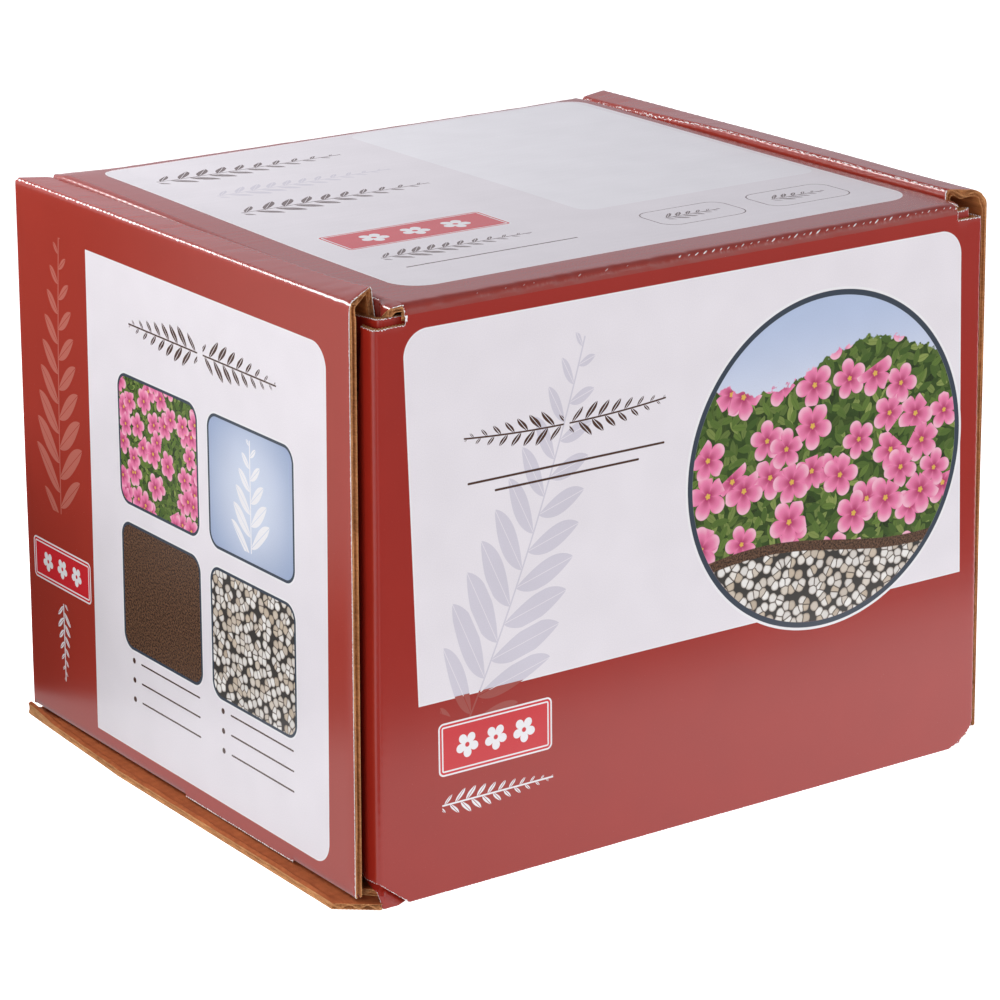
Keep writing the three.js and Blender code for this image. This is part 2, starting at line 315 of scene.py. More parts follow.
def wound(corners, kinds, counter_clockwise):
    """The outline and its edge kinds in the wanted direction of travel."""
    a = np.asarray(corners, float)
    b = np.roll(a, -1, axis=0)
    area = 0.5 * np.sum(a[:, 0] * b[:, 1] - b[:, 0] * a[:, 1])
    if (area > 0) == counter_clockwise:
        return a, list(kinds)
    back = list(kinds)[::-1]
    return a[::-1], back[1:] + back[:1]


def sample_loop(corners, kinds, seed, is_hole=False):
    """Points along an outline: place, normal into the board, openness of the cut, arc length, kind."""
    a, kinds = wound(corners, kinds, not is_hole)
    b = np.roll(a, -1, axis=0)
    pts, normals, cut, arc, names = [], [], [], [], []
    run = 0.0
    previous = kinds[-1]
    for p, q, kind in zip(a, b, kinds):
        spacing, teeth, strength = EDGE_KINDS[kind]
        length = np.linalg.norm(q - p)
        count = max(1, int(round(length / spacing)))
        direction = (q - p) / length
        normal = np.array([-direction[1], direction[0]])
        for k in range(count):
            s = k * length / count
            phase = (run + s) / 2.0
            tooth = abs(2 * (phase - math.floor(phase)) - 1)
            size = teeth * (0.6 + 0.8 * float(noise1((run + s) / 7.0, seed)))
            pts.append(p + direction * s + normal * (size * tooth if k else 0.0))
            normals.append(normal)
            cut.append(strength if k else max(strength, EDGE_KINDS[previous][2]))
            arc.append(run + s)
            names.append(kind)
        run += length
        previous = kind
    normals = np.array(normals)
    smooth = normals + np.roll(normals, 1, axis=0)
    smooth = np.where(np.linalg.norm(smooth, axis=1)[:, None] < 1e-6, normals, smooth)
    return np.array(pts), unit(smooth), np.array(cut), np.array(arc), np.array(names)


def grid_points(us, vs):
    uu, vv = np.meshgrid(us, vs, indexing="ij")
    return np.stack([uu.ravel(), vv.ravel()], axis=1)


def span(a, b, spacing):
    count = max(2, int(round(abs(b - a) / spacing)) + 1)
    return np.linspace(a, b, count)


OPEN_CUT = 0.4   # a cut that is more open than this shows its flutes

# Rows of points across a cut edge: 0 at the outer liner's face, 1 at the inner liner's
FINE_ROWS = (0.0, 0.11, 0.15, 0.26, 0.35, 0.44, 0.53, 0.62, 0.71, 0.80, 0.87, 0.89, 1.0)
PLAIN_ROWS = (0.0, 0.11, 0.15, 0.38, 0.62, 0.87, 0.89, 1.0)


def triangulate(flat, loops, name):
    """Triangles that fill the loops. Each loop runs with the board on its left."""
    edges, base = [], 0
    inner_keys, outer_keys = [], []
    total = len(flat)
    for pts, *_ in loops:
        n = len(pts)
        a = base + np.arange(n)
        b = base + (np.arange(n) + 1) % n
        edges += list(zip(a.tolist(), b.tolist()))
        inner_keys.append(a * total + b)
        outer_keys.append(b * total + a)
        base += n
    result = delaunay_2d_cdt([Vector(p) for p in flat], edges, [], 0, 1e-6, True)
    origin = np.array([ids[0] if ids else -1 for ids in result[3]])
    tri = origin[np.array(result[2])]
    assert tri.min() >= 0, name
    a, b, c = flat[tri[:, 0]], flat[tri[:, 1]], flat[tri[:, 2]]
    area = (b[:, 0] - a[:, 0]) * (c[:, 1] - a[:, 1]) - (c[:, 0] - a[:, 0]) * (b[:, 1] - a[:, 1])
    tri[area < 0] = tri[area < 0][:, ::-1]
    inner_keys, outer_keys = np.concatenate(inner_keys), np.concatenate(outer_keys)
    keys = np.stack([tri[:, 0] * total + tri[:, 1], tri[:, 1] * total + tri[:, 2],
                     tri[:, 2] * total + tri[:, 0]], axis=1)
    touches_in = np.isin(keys, inner_keys).any(axis=1)
    touches_out = np.isin(keys, outer_keys).any(axis=1)
    centre = (flat[tri[:, 0]] + flat[tri[:, 1]] + flat[tri[:, 2]]) / 3
    inside = inside_polygon(centre, loops[0][0])
    for pts, *_ in loops[1:]:
        inside &= ~inside_polygon(centre, pts)
    return tri[(inside | touches_in) & ~touches_out]


def clear_of_edges(candidates, outlines, gap):
    """The points that lie in the board, further than `gap` from its outline and its holes."""
    keep = inside_polygon(candidates, outlines[0])
    far = distance_to_polygon(candidates, outlines[0])
    for hole in outlines[1:]:
        keep &= ~inside_polygon(candidates, hole)
        far = np.minimum(far, distance_to_polygon(candidates, hole))
    return candidates[keep & (far > gap)]


def cut_depth(loop, f, middle, seed, hole_depth):
    """How deep a cut edge is hollowed out at share f of the thickness. middle is the fluted sheet's f."""
    pts, _, strength, arc, names = loop
    is_open = strength > OPEN_CUT
    away = np.abs(f - middle) * BOARD
    between_liners = step01(f, 0.115, 0.145) * (1 - step01(f, 0.875, 0.888))
    ragged = 0.5 + noise2(arc / 1.7, np.full(len(pts), f * 9.0), seed + 9)
    depth = between_liners * is_open * np.clip((away - 0.32) * 2.4 * ragged, 0, hole_depth)
    depth = depth + 0.12 * noise2(arc / 0.9, np.full(len(pts), f * 13.0), seed + 2) * is_open
    is_crushed = names == "crushed"
    if is_crushed.any():
        wave = 0.07 * (noise1(arc / 31.0, seed + 3) - 0.5)
        lines = gauss(f - 0.36 - wave, 0.05) + 0.8 * gauss(f - 0.58 - wave, 0.05)
        lines = lines * (1 - 0.8 * step01(pts[:, 1], 285, 325))
        depth = depth + is_crushed * 0.9 * lines
    return depth


def mesh_object(name, co, tri, kind, uv, cut, materials, design):
    """The mesh, with what its materials read: the uv map and the attributes "cut" and "rest"."""
    co = np.stack(place(*co.T), axis=1)
    mesh = bpy.data.meshes.new(name)
    mesh.vertices.add(len(co))
    mesh.vertices.foreach_set("co", co.astype(np.float32).ravel())
    mesh.loops.add(3 * len(tri))
    mesh.polygons.add(len(tri))
    mesh.polygons.foreach_set("loop_start", np.arange(0, 3 * len(tri), 3))
    mesh.loops.foreach_set("vertex_index", tri.ravel())
    mesh.polygons.foreach_set("material_index", kind)
    mesh.update(calc_edges=True)
    layer = mesh.uv_layers.new(name="print")
    layer.data.foreach_set("uv", uv[tri.ravel()].astype(np.float32).ravel())
    data = mesh.attributes.new("cut", "FLOAT", "POINT")
    data.data.foreach_set("value", cut.astype(np.float32))
    rest = mesh.attributes.new("rest", "FLOAT_VECTOR", "POINT")
    rest.data.foreach_set("vector", (co * 1000.0).astype(np.float32).ravel())
    volume = np.einsum("ij,ij->i", co[tri[:, 0]], np.cross(co[tri[:, 1]], co[tri[:, 2]])).sum()
    if volume < 0:
        mesh.flip_normals()
    for material in materials:
        mesh.materials.append(material)
    if design is not None:
        print_faces(mesh, design, kind, uv[tri], cut[tri])
    mesh.polygons.foreach_set("use_smooth", np.ones(len(tri), bool))
    mesh.set_sharp_from_angle(angle=math.radians(38))
    obj = bpy.data.objects.new(name, mesh)
    bpy.context.scene.collection.objects.link(obj)
    return obj


def board(name, fold, corners, kinds, materials, *, holes=(), points=None, flute_axis=0, phase=0.0,
          lift=None, under=None, uv=None, rows_at=FINE_ROWS, seed=1, hole_depth=2.2, design=None):
    """A closed board: two liners drawn from one flat outline, folded, with fluted cut edges.

    lift and under move the outer and inner liner along the board's normal. flute_axis is 0 where the
    flutes run along u. Faces take their material by number: outer liner, inner liner, outer liner's
    torn rim, fluted core.
    """
    loops = [sample_loop(corners, kinds, seed)]
    for hole in holes:
        loops.append(sample_loop(hole, ["hidden"] * len(hole), seed + 1, is_hole=True))
    outlines = [np.asarray(corners, float)] + [np.asarray(hole, float) for hole in holes]
    rings = []
    for pts, normal, cut, _, _ in loops:
        chosen = np.arange(0, len(pts), 2)
        rings.append((pts + normal)[chosen][cut[chosen] > OPEN_CUT])
    ring = clear_of_edges(np.concatenate(rings), outlines, 0.85)
    interior = clear_of_edges(np.asarray(points, float), outlines, 1.5)
    flat = np.concatenate([loop[0] for loop in loops] + [ring, interior])
    cut = np.concatenate([loop[2] for loop in loops] + [np.zeros(len(ring) + len(interior))])
    triangles = triangulate(flat, loops, name)
    count = len(flat)

    u, v = flat[:, 0], flat[:, 1]
    top_h = lift(u, v) if lift else np.zeros(count)
    low_h = -BOARD + (under(u, v) if under else np.zeros(count))
    crushed = 0.22 * cut
    edge_names = np.concatenate([loop[4] for loop in loops])
    crushed[:len(edge_names)][edge_names == "folded"] = 1.0
    top_h, low_h = top_h - crushed, low_h + crushed
    vertices = [fold(u, v, top_h), fold(u, v, low_h)]
    sheet_uv = [flat, flat]
    cut_list = [cut, np.zeros(count)]
    faces = [triangles, triangles[:, ::-1] + count]
    face_kinds = [np.zeros(len(triangles), int), np.ones(len(triangles), int)]

    offset, base = 2 * count, 0
    for loop in loops:
        pts, normal, strength, arc, names = loop
        n = len(pts)
        top_ids = np.arange(base, base + n)
        ids = [top_ids]
        wobble = 1.6 * (noise1(arc / 23.0, seed + 5) - 0.5)
        across_flutes = (pts[:, 1] if flute_axis == 0 else pts[:, 0]) + phase + wobble
        middle = 0.515 + 0.30 * np.sin(2 * math.pi * across_flutes / FLUTE)
        for f in rows_at[1:-1]:
            row = pts + normal * cut_depth(loop, f, middle, seed, hole_depth)[:, None]
            h = top_h[top_ids] + (low_h[top_ids] - top_h[top_ids]) * f
            vertices.append(fold(row[:, 0], row[:, 1], h))
            sheet_uv.append(row)
            cut_list.append(strength)
            ids.append(np.arange(offset, offset + n))
            offset += n
        ids.append(top_ids + count)
        for k, (a, b) in enumerate(zip(ids[:-1], ids[1:])):
            a_next, b_next = np.roll(a, -1), np.roll(b, -1)
            f = 0.5 * (rows_at[k] + rows_at[k + 1])
            kind = np.where(names == "folded", 0 if f < 0.9 else 1, 2 if f < 0.115 else 3)
            kind[names == "tidy"] = 3
            faces += [np.stack([a, b, b_next], axis=1), np.stack([a, b_next, a_next], axis=1)]
            face_kinds += [kind, kind]
        base += n

    flat_uv = np.concatenate(sheet_uv)
    uv_values = uv(flat_uv[:, 0], flat_uv[:, 1]) if uv else flat_uv
    return mesh_object(name, np.concatenate(vertices), np.concatenate(faces), np.concatenate(face_kinds),
                       uv_values, np.concatenate(cut_list), materials, design)


def print_faces(mesh, design, kind, face_uv, face_cut):
    """Gives each printed face the material that holds what is printed there."""
    faces = np.flatnonzero(kind == 0)
    low, high = face_uv[faces].min(axis=1), face_uv[faces].max(axis=1)
    codes = design.codes(low, high, face_cut[faces].max(axis=1) > 0)
    index = kind.copy()
    for code in np.unique(codes):
        first = code == codes.min()
        slot = 0 if first else len(mesh.materials)
        material = design.material(int(code))
        if first:
            mesh.materials[0] = material
        else:
            mesh.materials.append(material)
        index[faces[codes == code]] = slot
    mesh.polygons.foreach_set("material_index", index)


NEAR = (-9, -7, -5.5, -4.5, -3.5, -2.5, -1.5, -0.5, 0.5, 1.5, 2.5, 3.5, 4.5, 5.5, 7, 9)


def crease_points(start, end, at, spacing, offsets=NEAR):
    """Points beside a crease that runs along u at v = `at`."""
    return grid_points(span(start, end, spacing), at + np.asarray(offsets))


def leaning_crease_points(inset, alongs):
    """Points beside the two leaning creases of an end wall or flap."""
    line = inset - lean_at(alongs)
    points = []
    for mirror in (False, True):
        for offset in NEAR:
            us = line + offset
            points.append(np.stack([WIDTH - us if mirror else us, alongs], axis=1))
    return points


def leaning_crease_flutes(u, v, inset):
    """Flutes that show through the outer liner at the same two creases."""
    at = inset - lean_at(v)
    away = np.minimum(np.abs(u - at), np.abs(WIDTH - u - at))
    return 0.10 * (np.sin(2 * math.pi * v / FLUTE) - 1) * gauss(away, 3.0)


def both_halves(left, right):
    """Outline and edge kinds of an end wall or flap. A half runs from the foot up: (u, v, next edge)."""
    right = right[::-1]
    corners = [(u, v) for u, v, _ in left] + [(WIDTH - u, v) for u, v, _ in right]
    kinds = [kind for _, _, kind in left] + [kind for _, _, kind in right][1:] + ["clean"]
    return corners, kinds


# ---------------------------------------------------------------- material nodes as arithmetic
class Field:
    """A number on a node's socket. Arithmetic on it adds math nodes."""

    def __init__(self, graph, socket):
        self.graph, self.socket = graph, socket

    def math(self, operation, *others):
        node = self.graph.nodes.new("ShaderNodeMath")
        node.operation = operation
        for slot, item in zip(node.inputs, (self, *others)):
            self.graph.put(slot, item)
        return Field(self.graph, node.outputs[0])

    def __rsub__(self, other):
        return self * -1.0 + other

    def ramp(self, start, end):
        """0 before start and 1 after end, smooth between them. start may be above end."""
        node = self.graph.nodes.new("ShaderNodeMapRange")
        node.interpolation_type = "SMOOTHSTEP"
        self.graph.put(node.inputs["Value"], self)
        for name, item in (("From Min", start), ("From Max", end)):
            self.graph.put(node.inputs[name], item)
        return Field(self.graph, node.outputs["Result"])


def operator(operation):
    return lambda field, *others: field.math(operation, *others)


for method, operation in {
        "__add__": "ADD", "__radd__": "ADD", "__sub__": "SUBTRACT", "__mul__": "MULTIPLY",
        "__truediv__": "DIVIDE", "__pow__": "POWER", "low": "MINIMUM", "high": "MAXIMUM",
        "abs": "ABSOLUTE", "sin": "SINE", "cos": "COSINE", "sqrt": "SQRT", "fract": "FRACT",
        "floor": "FLOOR", "sign": "SIGN", "atan2": "ARCTAN2"}.items():
    setattr(Field, method, operator(operation))


class Graph:
    """One material under construction. Plane coordinates are the sheet's own, in millimetres."""

    def __init__(self, name):
        self.material = bpy.data.materials.new(name)
        self.material.use_nodes = True
        tree = self.material.node_tree
        self.nodes, self.links = tree.nodes, tree.links
        self.shader = tree.nodes["Principled BSDF"]
        self.colour = None
        self.wear_and_glints = None
        self.shine = None

    def put(self, slot, item):
        if isinstance(item, Field):
            self.links.new(item.socket, slot)
        elif isinstance(item, bpy.types.NodeSocket):
            self.links.new(item, slot)
        elif isinstance(item, tuple) and len(item) == 3 and len(slot.default_value) == 4:
            slot.default_value = (*item, 1.0)
        else:
            slot.default_value = item

    def surface(self, **items):
        """Sets inputs of the shader by name, with _ for a space."""
        for name, item in items.items():
            self.put(self.shader.inputs[name.replace("_", " ")], item)

    def relief(self, height):
        """Bump on the surface from a height in millimetres."""
        node = self.nodes.new("ShaderNodeBump")
        node.inputs["Strength"].default_value = 1.0
        node.inputs["Distance"].default_value = 0.001
        self.put(node.inputs["Height"], height)
        self.surface(Normal=node.outputs[0])

    def mark_wear_and_glints(self, mask):
        """Adds to the white marks: where the ink has rubbed off, and painted glints along the folds."""
        self.wear_and_glints = mask if self.wear_and_glints is None else self.wear_and_glints.high(mask)

    def split(self, socket):
        node = self.nodes.new("ShaderNodeSeparateXYZ")
        self.put(node.inputs[0], socket)
        return [Field(self, out) for out in node.outputs]

    def join(self, x, y, z=0.0):
        node = self.nodes.new("ShaderNodeCombineXYZ")
        for slot, item in zip(node.inputs, (x, y, z)):
            self.put(slot, item)
        return node.outputs[0]

    def plane(self):
        node = self.nodes.new("ShaderNodeUVMap")
        node.uv_map = "print"
        x, y, _ = self.split(node.outputs[0])
        return x, y

    def object_place(self):
        return self.split(self.nodes.new("ShaderNodeTexCoord").outputs["Object"])

    def attribute(self, name, output):
        node = self.nodes.new("ShaderNodeAttribute")
        node.attribute_name = name
        return Field(self, node.outputs[output])

    def noise(self, vector, detail=2.0, roughness=0.5):
        """Soft noise, one lump per unit of the vector."""
        node = self.nodes.new("ShaderNodeTexNoise")
        self.put(node.inputs["Vector"], vector)
        for name, item in (("Scale", 1.0), ("Detail", detail), ("Roughness", roughness)):
            self.put(node.inputs[name], item)
        return Field(self, node.outputs["Fac"])

    def random(self, value):
        """A random number for each whole value."""
        node = self.nodes.new("ShaderNodeTexWhiteNoise")
        node.noise_dimensions = "1D"
        self.put(node.inputs["W"], value)
        return Field(self, node.outputs["Value"])

    def voronoi(self, x, y, size, seed, feature):
        u, v = x * (1 / size) + 3.7 * seed, y * (1 / size) + 11.3 * seed
        node = self.nodes.new("ShaderNodeTexVoronoi")
        node.voronoi_dimensions = "2D"
        node.feature = feature
        self.put(node.inputs["Vector"], self.join(u, v))
        self.put(node.inputs["Scale"], 1.0)
        return u, v, node.outputs

    def cells(self, x, y, size, seed):
        """Scattered cells: place within the cell in mm, two random numbers of the cell."""
        u, v, out = self.voronoi(x, y, size, seed, "F1")
        cu, cv, _ = self.split(out["Position"])
        r1, r2, _ = self.split(out["Color"])
        return (u - cu) * size, (v - cv) * size, r1, r2

    def cell_edge(self, x, y, size, seed):
        """How far inside its cell a point is, in cell units."""
        return Field(self, self.voronoi(x, y, size, seed, "DISTANCE_TO_EDGE")[2]["Distance"])

    def mixed(self, a, b, share):
        """Colour a, going to colour b as share goes to 1."""
        node = self.nodes.new("ShaderNodeMix")
        node.data_type = "RGBA"
        self.put(node.inputs["Factor"], share)
        self.put(node.inputs[6], a)
        self.put(node.inputs[7], b)
        return node.outputs[2]

    def lay(self, colour, mask):
        """Prints a colour over what is there."""
        self.colour = self.mixed(self.colour, colour, mask)


def cover(distance, soft=0.12):
    """1 inside a shape whose signed distance is given, 0 outside."""
    return distance.ramp(soft, -soft)


def length_of(dx, dy):
    return (dx * dx + dy * dy).sqrt()


def box_distance(x, y, corners, radius):
    """Signed distance to an upright rounded rectangle (x0, y0, x1, y1)."""
    x0, y0, x1, y1 = corners
    qx = (x - (x0 + x1) / 2).abs() - ((x1 - x0) / 2 - radius)
    qy = (y - (y0 + y1) / 2).abs() - ((y1 - y0) / 2 - radius)
    return length_of(qx.high(0.0), qy.high(0.0)) + qx.high(qy).low(0.0) - radius


def disc_distance(x, y, centre, radius):
    return length_of(x - centre[0], y - centre[1]) - radius


def sprig(x, y, foot, angle, length, leaf, pitch, bend=0.0, width=0.26):
    """A stem with alternating leaves, shorter at both ends, growing from `foot` at `angle` degrees."""
    c, s = math.cos(math.radians(angle)), math.sin(math.radians(angle))
    along = x * c + y * s - (foot[0] * c + foot[1] * s)
    across = y * c - x * s - (foot[1] * c - foot[0] * s)
    if bend:
        across = across - along * along * (bend / length)
    reach = across.abs()
    taper = (1.05 - along * (1 / length)).high(0.0) ** 0.6 * (along * (2.4 / length) + 0.45).low(1.0) * leaf
    lean = (along - reach * 0.85) * (1 / pitch) + across.sign() * 0.25
    from_rib = (lean.fract() - 0.5).abs() * pitch
    share = (reach / taper.high(0.01)).low(1.0)
    half = (share * math.pi).sin() ** 0.8 * taper * width
    on_leaf = cover(from_rib - half.low(pitch * 0.44)) * from_rib.ramp(0.14, 0.30)
    inside = ((along - length / 2).abs() - length / 2).ramp(0.0, -0.4)
    return on_leaf.high(reach.ramp(0.55, 0.35)) * inside


def leaf_layer(g, x, y, size, seed, length, width):
    dx, dy, r1, r2 = g.cells(x, y, size, seed)
    turn = r1 * 6.283
    c, s = turn.cos(), turn.sin()
    a, b = dx * c + dy * s, dy * c - dx * s
    a = a * (1 / length)
    half = (1.0 - a * a) * width
    return cover(b.abs() - half, 0.15), r2, b.abs().ramp(0.1, 0.3)


def blossom_layer(g, x, y, size, seed, radius):
    """Five-petalled flowers on some of the cells: their mask, shade from the heart out, and petal ridge."""
    dx, dy, r1, r2 = g.cells(x, y, size, seed)
    reach = length_of(dx, dy)
    petal = ((dy.atan2(dx) + r1 * 6.283) * 2.5).cos().abs()
    edge = (petal ** 0.6 * 0.5 + 0.5) * (r2 * 0.35 + 0.72) * radius
    there = r2.ramp(0.35, 0.36)
    return cover(reach - edge, 0.2) * there, reach / edge.high(0.1), petal


GREENS = ((0.020, 0.040, 0.008), (0.055, 0.110, 0.018), (0.130, 0.210, 0.035), (0.260, 0.330, 0.080))
PINKS = ((0.430, 0.030, 0.120), (0.800, 0.200, 0.380), (0.900, 0.480, 0.600))


def print_hedge(g, x, y, mask, size=1.0):
    """Foliage with pink blossoms."""
    picture = g.mixed(GREENS[0], GREENS[1], g.noise(g.join(x * (0.12 / size), y * (0.12 / size)), 3.0))
    for seed, dark, light in ((1, 0, 2), (2, 1, 3), (3, 1, 2)):
        on, tint, rib = leaf_layer(g, x, y, 7.5 * size, seed, 5.2 * size, 1.9 * size)
        leaf = g.mixed(GREENS[dark], GREENS[light], tint * (rib * 0.35 + 0.65))
        picture = g.mixed(picture, leaf, on)
    for seed in (5, 6):
        on, shade, petal = blossom_layer(g, x, y, 25 * size, seed, 12.5 * size)
        flower = g.mixed(PINKS[0], PINKS[1], shade.ramp(0.05, 0.7))
        flower = g.mixed(flower, PINKS[2], shade.ramp(0.6, 1.0) * petal.ramp(0.3, 0.9))
        flower = g.mixed((0.75, 0.45, 0.08), flower, shade.ramp(0.1, 0.16))
        picture = g.mixed(picture, flower, on)
    g.lay(picture, mask)


def print_pebbles(g, x, y, mask, size=5.0):
    """Round white and cream stones."""
    wobble = g.noise(g.join(x * 0.3, y * 0.3), 1.0) * 1.2
    inside = g.cell_edge(x + wobble, y, size, 9)
    dx, dy, r1, r2 = g.cells(x + wobble, y, size, 9)
    reach = length_of(dx, dy) * (1 / size)
    stone = g.mixed((0.60, 0.50, 0.38), (0.88, 0.86, 0.82), r1.ramp(0.0, 0.6))
    lit = (0.62 - reach).low(inside * 2.2)
    stone = g.mixed((0.26, 0.20, 0.15), stone, lit.ramp(0.0, 0.30) * (r2 * 0.3 + 0.7))
    g.lay(g.mixed((0.05, 0.045, 0.04), stone, lit.ramp(0.03, 0.12)), mask)


def print_soil(g, x, y, mask):
    grain = g.noise(g.join(x * 0.9, y * 0.9), 5.0, 0.75)
    g.lay(g.mixed((0.030, 0.016, 0.010), (0.220, 0.110, 0.060), grain.ramp(0.35, 0.72)), mask)


def print_glaze(g, x, y, mask, middle, radius):
    """Pale blue, darker to the rim."""
    reach = length_of(x - middle[0], y - middle[1]) * (1 / radius)
    g.lay(g.mixed((0.62, 0.68, 0.80), (0.30, 0.38, 0.56), reach.ramp(0.2, 1.2)), mask)


def beads(g, along, across, pitch, length, width, seed, rare, slant):
    """White spots along a crease, about one on each flute and no two alike: rubbed ink in part, painted
    glints in part.
    """
    wander = g.noise(g.join(along * 0.30, across * 0.30, float(seed)), 2.0)
    drift = g.noise(g.join(along * 0.045, float(seed)), 1.0) * 5.0
    t = (along + drift) * (1 / pitch)
    chance = g.random(t.floor() + 17.0 * seed)
    size = chance * 0.75 + 0.45
    a = ((t.fract() - 0.5) * pitch + (chance - 0.5) * 1.3) / (size * length) + (wander - 0.5) * 1.3
    b = across / (size * width) + (wander - 0.5) * 1.9 + (chance - 0.5) * 0.5
    if slant:
        b = b + a * slant
    spot = (a * a + b * b).ramp(1.6, 0.4)
    if rare:
        spot = spot * g.random(t.floor() + 3.0 + 29.0 * seed).ramp(rare, rare + 0.25)
    return spot


def flakes(g, along, across, length, width, half, seed, level):
    """Irregular flakes in a band `half` wide on either side of a crease, used for painted glints."""
    n = g.noise(g.join(along * (1 / length), across * (1 / width), float(seed)), 2.0, 0.6)
    offset = across * (1 / half)
    return (n + (1.0 - offset * offset) * 0.22).ramp(level, level + 0.05)


# White of rubbed-off ink and of the painted glints on the folds.
WEAR_AND_GLINT_WHITE = (0.93, 0.90, 0.89)


def finish_print(g, x, y, has_cut, washboard, gloss):
    """Ink on coated liner: mottle, white marks of rubbed ink and painted glints, cut fringe, washboard and
    paper relief.
    """
    fine = g.noise(g.join(x * 1.6, y * 1.6), 2.0, 0.65)
    broad = g.noise(g.join(x * 0.035, y * 0.035), 1.0)
    tone = g.nodes.new("ShaderNodeHueSaturation")
    g.put(tone.inputs["Color"], g.colour)
    g.put(tone.inputs["Value"], fine * 0.16 + broad * 0.10 + 0.87)
    g.colour = tone.outputs[0]
    rough = fine * 0.10 + (gloss - 0.05)
    if has_cut:
        tear = g.noise(g.attribute("rest", "Vector"), 2.0, 0.7)
        g.mark_wear_and_glints((g.attribute("cut", "Fac") * 0.8 + tear * 1.3).ramp(1.24, 1.36))
    # Lays white where the ink has rubbed off and where glints are painted.
    if g.wear_and_glints is not None:
        g.lay(WEAR_AND_GLINT_WHITE, g.wear_and_glints)
        rough = rough + g.wear_and_glints * 0.3
    height = fine * 0.010
    if washboard:
        wave = g.noise(g.join(y * 0.105, x * 0.012), 1.0)
        flute = (y * (2 * math.pi / FLUTE)).sin()
        height = height + flute * (washboard * 0.35) + wave * (washboard * 9.0)
    if g.shine is not None:
        height = height + g.shine * 0.09
    g.relief(height)
    g.surface(Base_Color=g.colour, Roughness=rough, Specular_IOR_Level=1.0)
    return g.material


class Print:
    """A sheet's printed face: a ground, and motifs that each stay inside a box (x0, y0, x1, y1).

    Each face of the sheet gets a material with only the motifs that reach it, so that the picture is the
    same as with one big material and takes far less time.
    """

    def __init__(self, name, ground, washboard=0.0, gloss=0.25):
        self.name, self.ground = name, ground
        self.washboard, self.gloss = washboard, gloss
        self.motifs = []

    def add(self, box, draw, *details):
        self.motifs.append((box, draw, details))
        return self

    def material(self, code):
        g = Graph(f"{self.name}_{code:x}")
        x, y = g.plane()
        self.ground(g, x, y)
        for k, (_, draw, details) in enumerate(self.motifs):
            if code >> k & 1:
                draw(g, x, y, *details)
        return finish_print(g, x, y, bool(code >> len(self.motifs) & 1), self.washboard, self.gloss)

    def codes(self, low, high, cut):
        """For each face, which motifs its box (low, high corners) meets, and if it is at a cut edge."""
        code = np.zeros(len(low), int)
        for k, ((x0, y0, x1, y1), _, _) in enumerate(self.motifs):
            meets = (low[:, 0] < x1) & (high[:, 0] > x0) & (low[:, 1] < y1) & (high[:, 1] > y0)
            code |= meets.astype(int) << k
        return code | cut.astype(int) << len(self.motifs)


# ---------------------------------------------------------------- the print
RED_FRONT = (0.355, 0.019, 0.010)
RED_SIDE = (0.365, 0.036, 0.021)
RED_TOP = (0.315, 0.037, 0.026)
PALE = (0.805, 0.767, 0.800)
LILAC = (0.640, 0.610, 0.680)
BROWN = (0.085, 0.040, 0.028)
SLATE = (0.045, 0.060, 0.085)
BADGE = (0.620, 0.022, 0.030)
WHITE_INK = (0.850, 0.840, 0.850)


def flat_ink(colour):
    def ground(g, x, y):
        g.colour = colour
    return ground


def panel_ground(g, red, panel):
    """Red ink with a pale panel inside a thin white line; panel is the signed distance to its edge."""
    g.colour = g.mixed(red, WHITE_INK, cover(panel))
    g.lay(PALE, cover(panel + 0.8))


def draw_sprig(g, x, y, colour, strength, *shape):
    mask = sprig(x, y, *shape)
    g.lay(colour, mask * strength if strength < 1 else mask)


def draw_bar(g, x, y, colour, *corners):
    g.lay(colour, cover(box_distance(x, y, corners, 0.5)))


def draw_badge(g, x, y, *corners):
    """A red tab with a white inner line and three plain blossoms."""
    x0, y0, x1, y1 = corners
    d = box_distance(x, y, corners, 3.2)
    g.lay(WHITE_INK, cover(d))
    g.lay(BADGE, cover(d + 0.9))
    g.lay(WHITE_INK, cover((d + 2.4).abs() - 0.4))
    size = min(x1 - x0, y1 - y0) * 0.24
    step = (x1 - x0) / 4
    nearest = ((x - (x0 + x1) / 2) * (1 / step) + 0.5).floor().high(-1.0).low(1.0)
    dx, dy = x - (x0 + x1) / 2 - nearest * step, y - (y0 + y1) / 2
    petal = ((dy.atan2(dx) + 0.3) * 2.5).cos().abs()
    reach = length_of(dx, dy)
    edge = (petal ** 0.6 * 0.55 + 0.45) * size
    g.lay(WHITE_INK, cover(reach - edge) * reach.ramp(size * 0.16, size * 0.22))


def around(centre, reach):
    return (centre[0] - reach, centre[1] - reach, centre[0] + reach, centre[1] + reach)


def crease_wear_and_glints(g, x, y, at, pitch, length, width, seed, rare=0.0, strength=1.0, slant=0.0):
    """White spots along a fold: rubbed-off ink, and painted glints where the fold catches the light."""
    g.mark_wear_and_glints(beads(g, x, y - at, pitch, length, width, seed, rare, slant) * strength)
    g.shine = g.wear_and_glints


# Painted glints: irregular white flakes along a fold, where it catches the light.
def crease_glint_flakes(g, x, y, at, *shape):
    g.wear_and_glints = flakes(g, x, y - at, *shape)
    g.shine = g.wear_and_glints


def painted_fold_sheen(g, x, y, strength):
    """Painted sheen: soft light streaks running down from the fold, where the crease catches the light."""
    sheen_mask = g.noise(g.join(x * 0.42, y * 0.10, 2.0), 2.0, 0.6).ramp(0.46, 0.72)
    g.lay((0.62, 0.30, 0.27), sheen_mask * (y.ramp(-0.4, -1.3) * y.ramp(-3.8, -1.7)) * strength)


# the front
MEDALLION, MEDALLION_RADIUS = (286.0, 183.0), 91.0


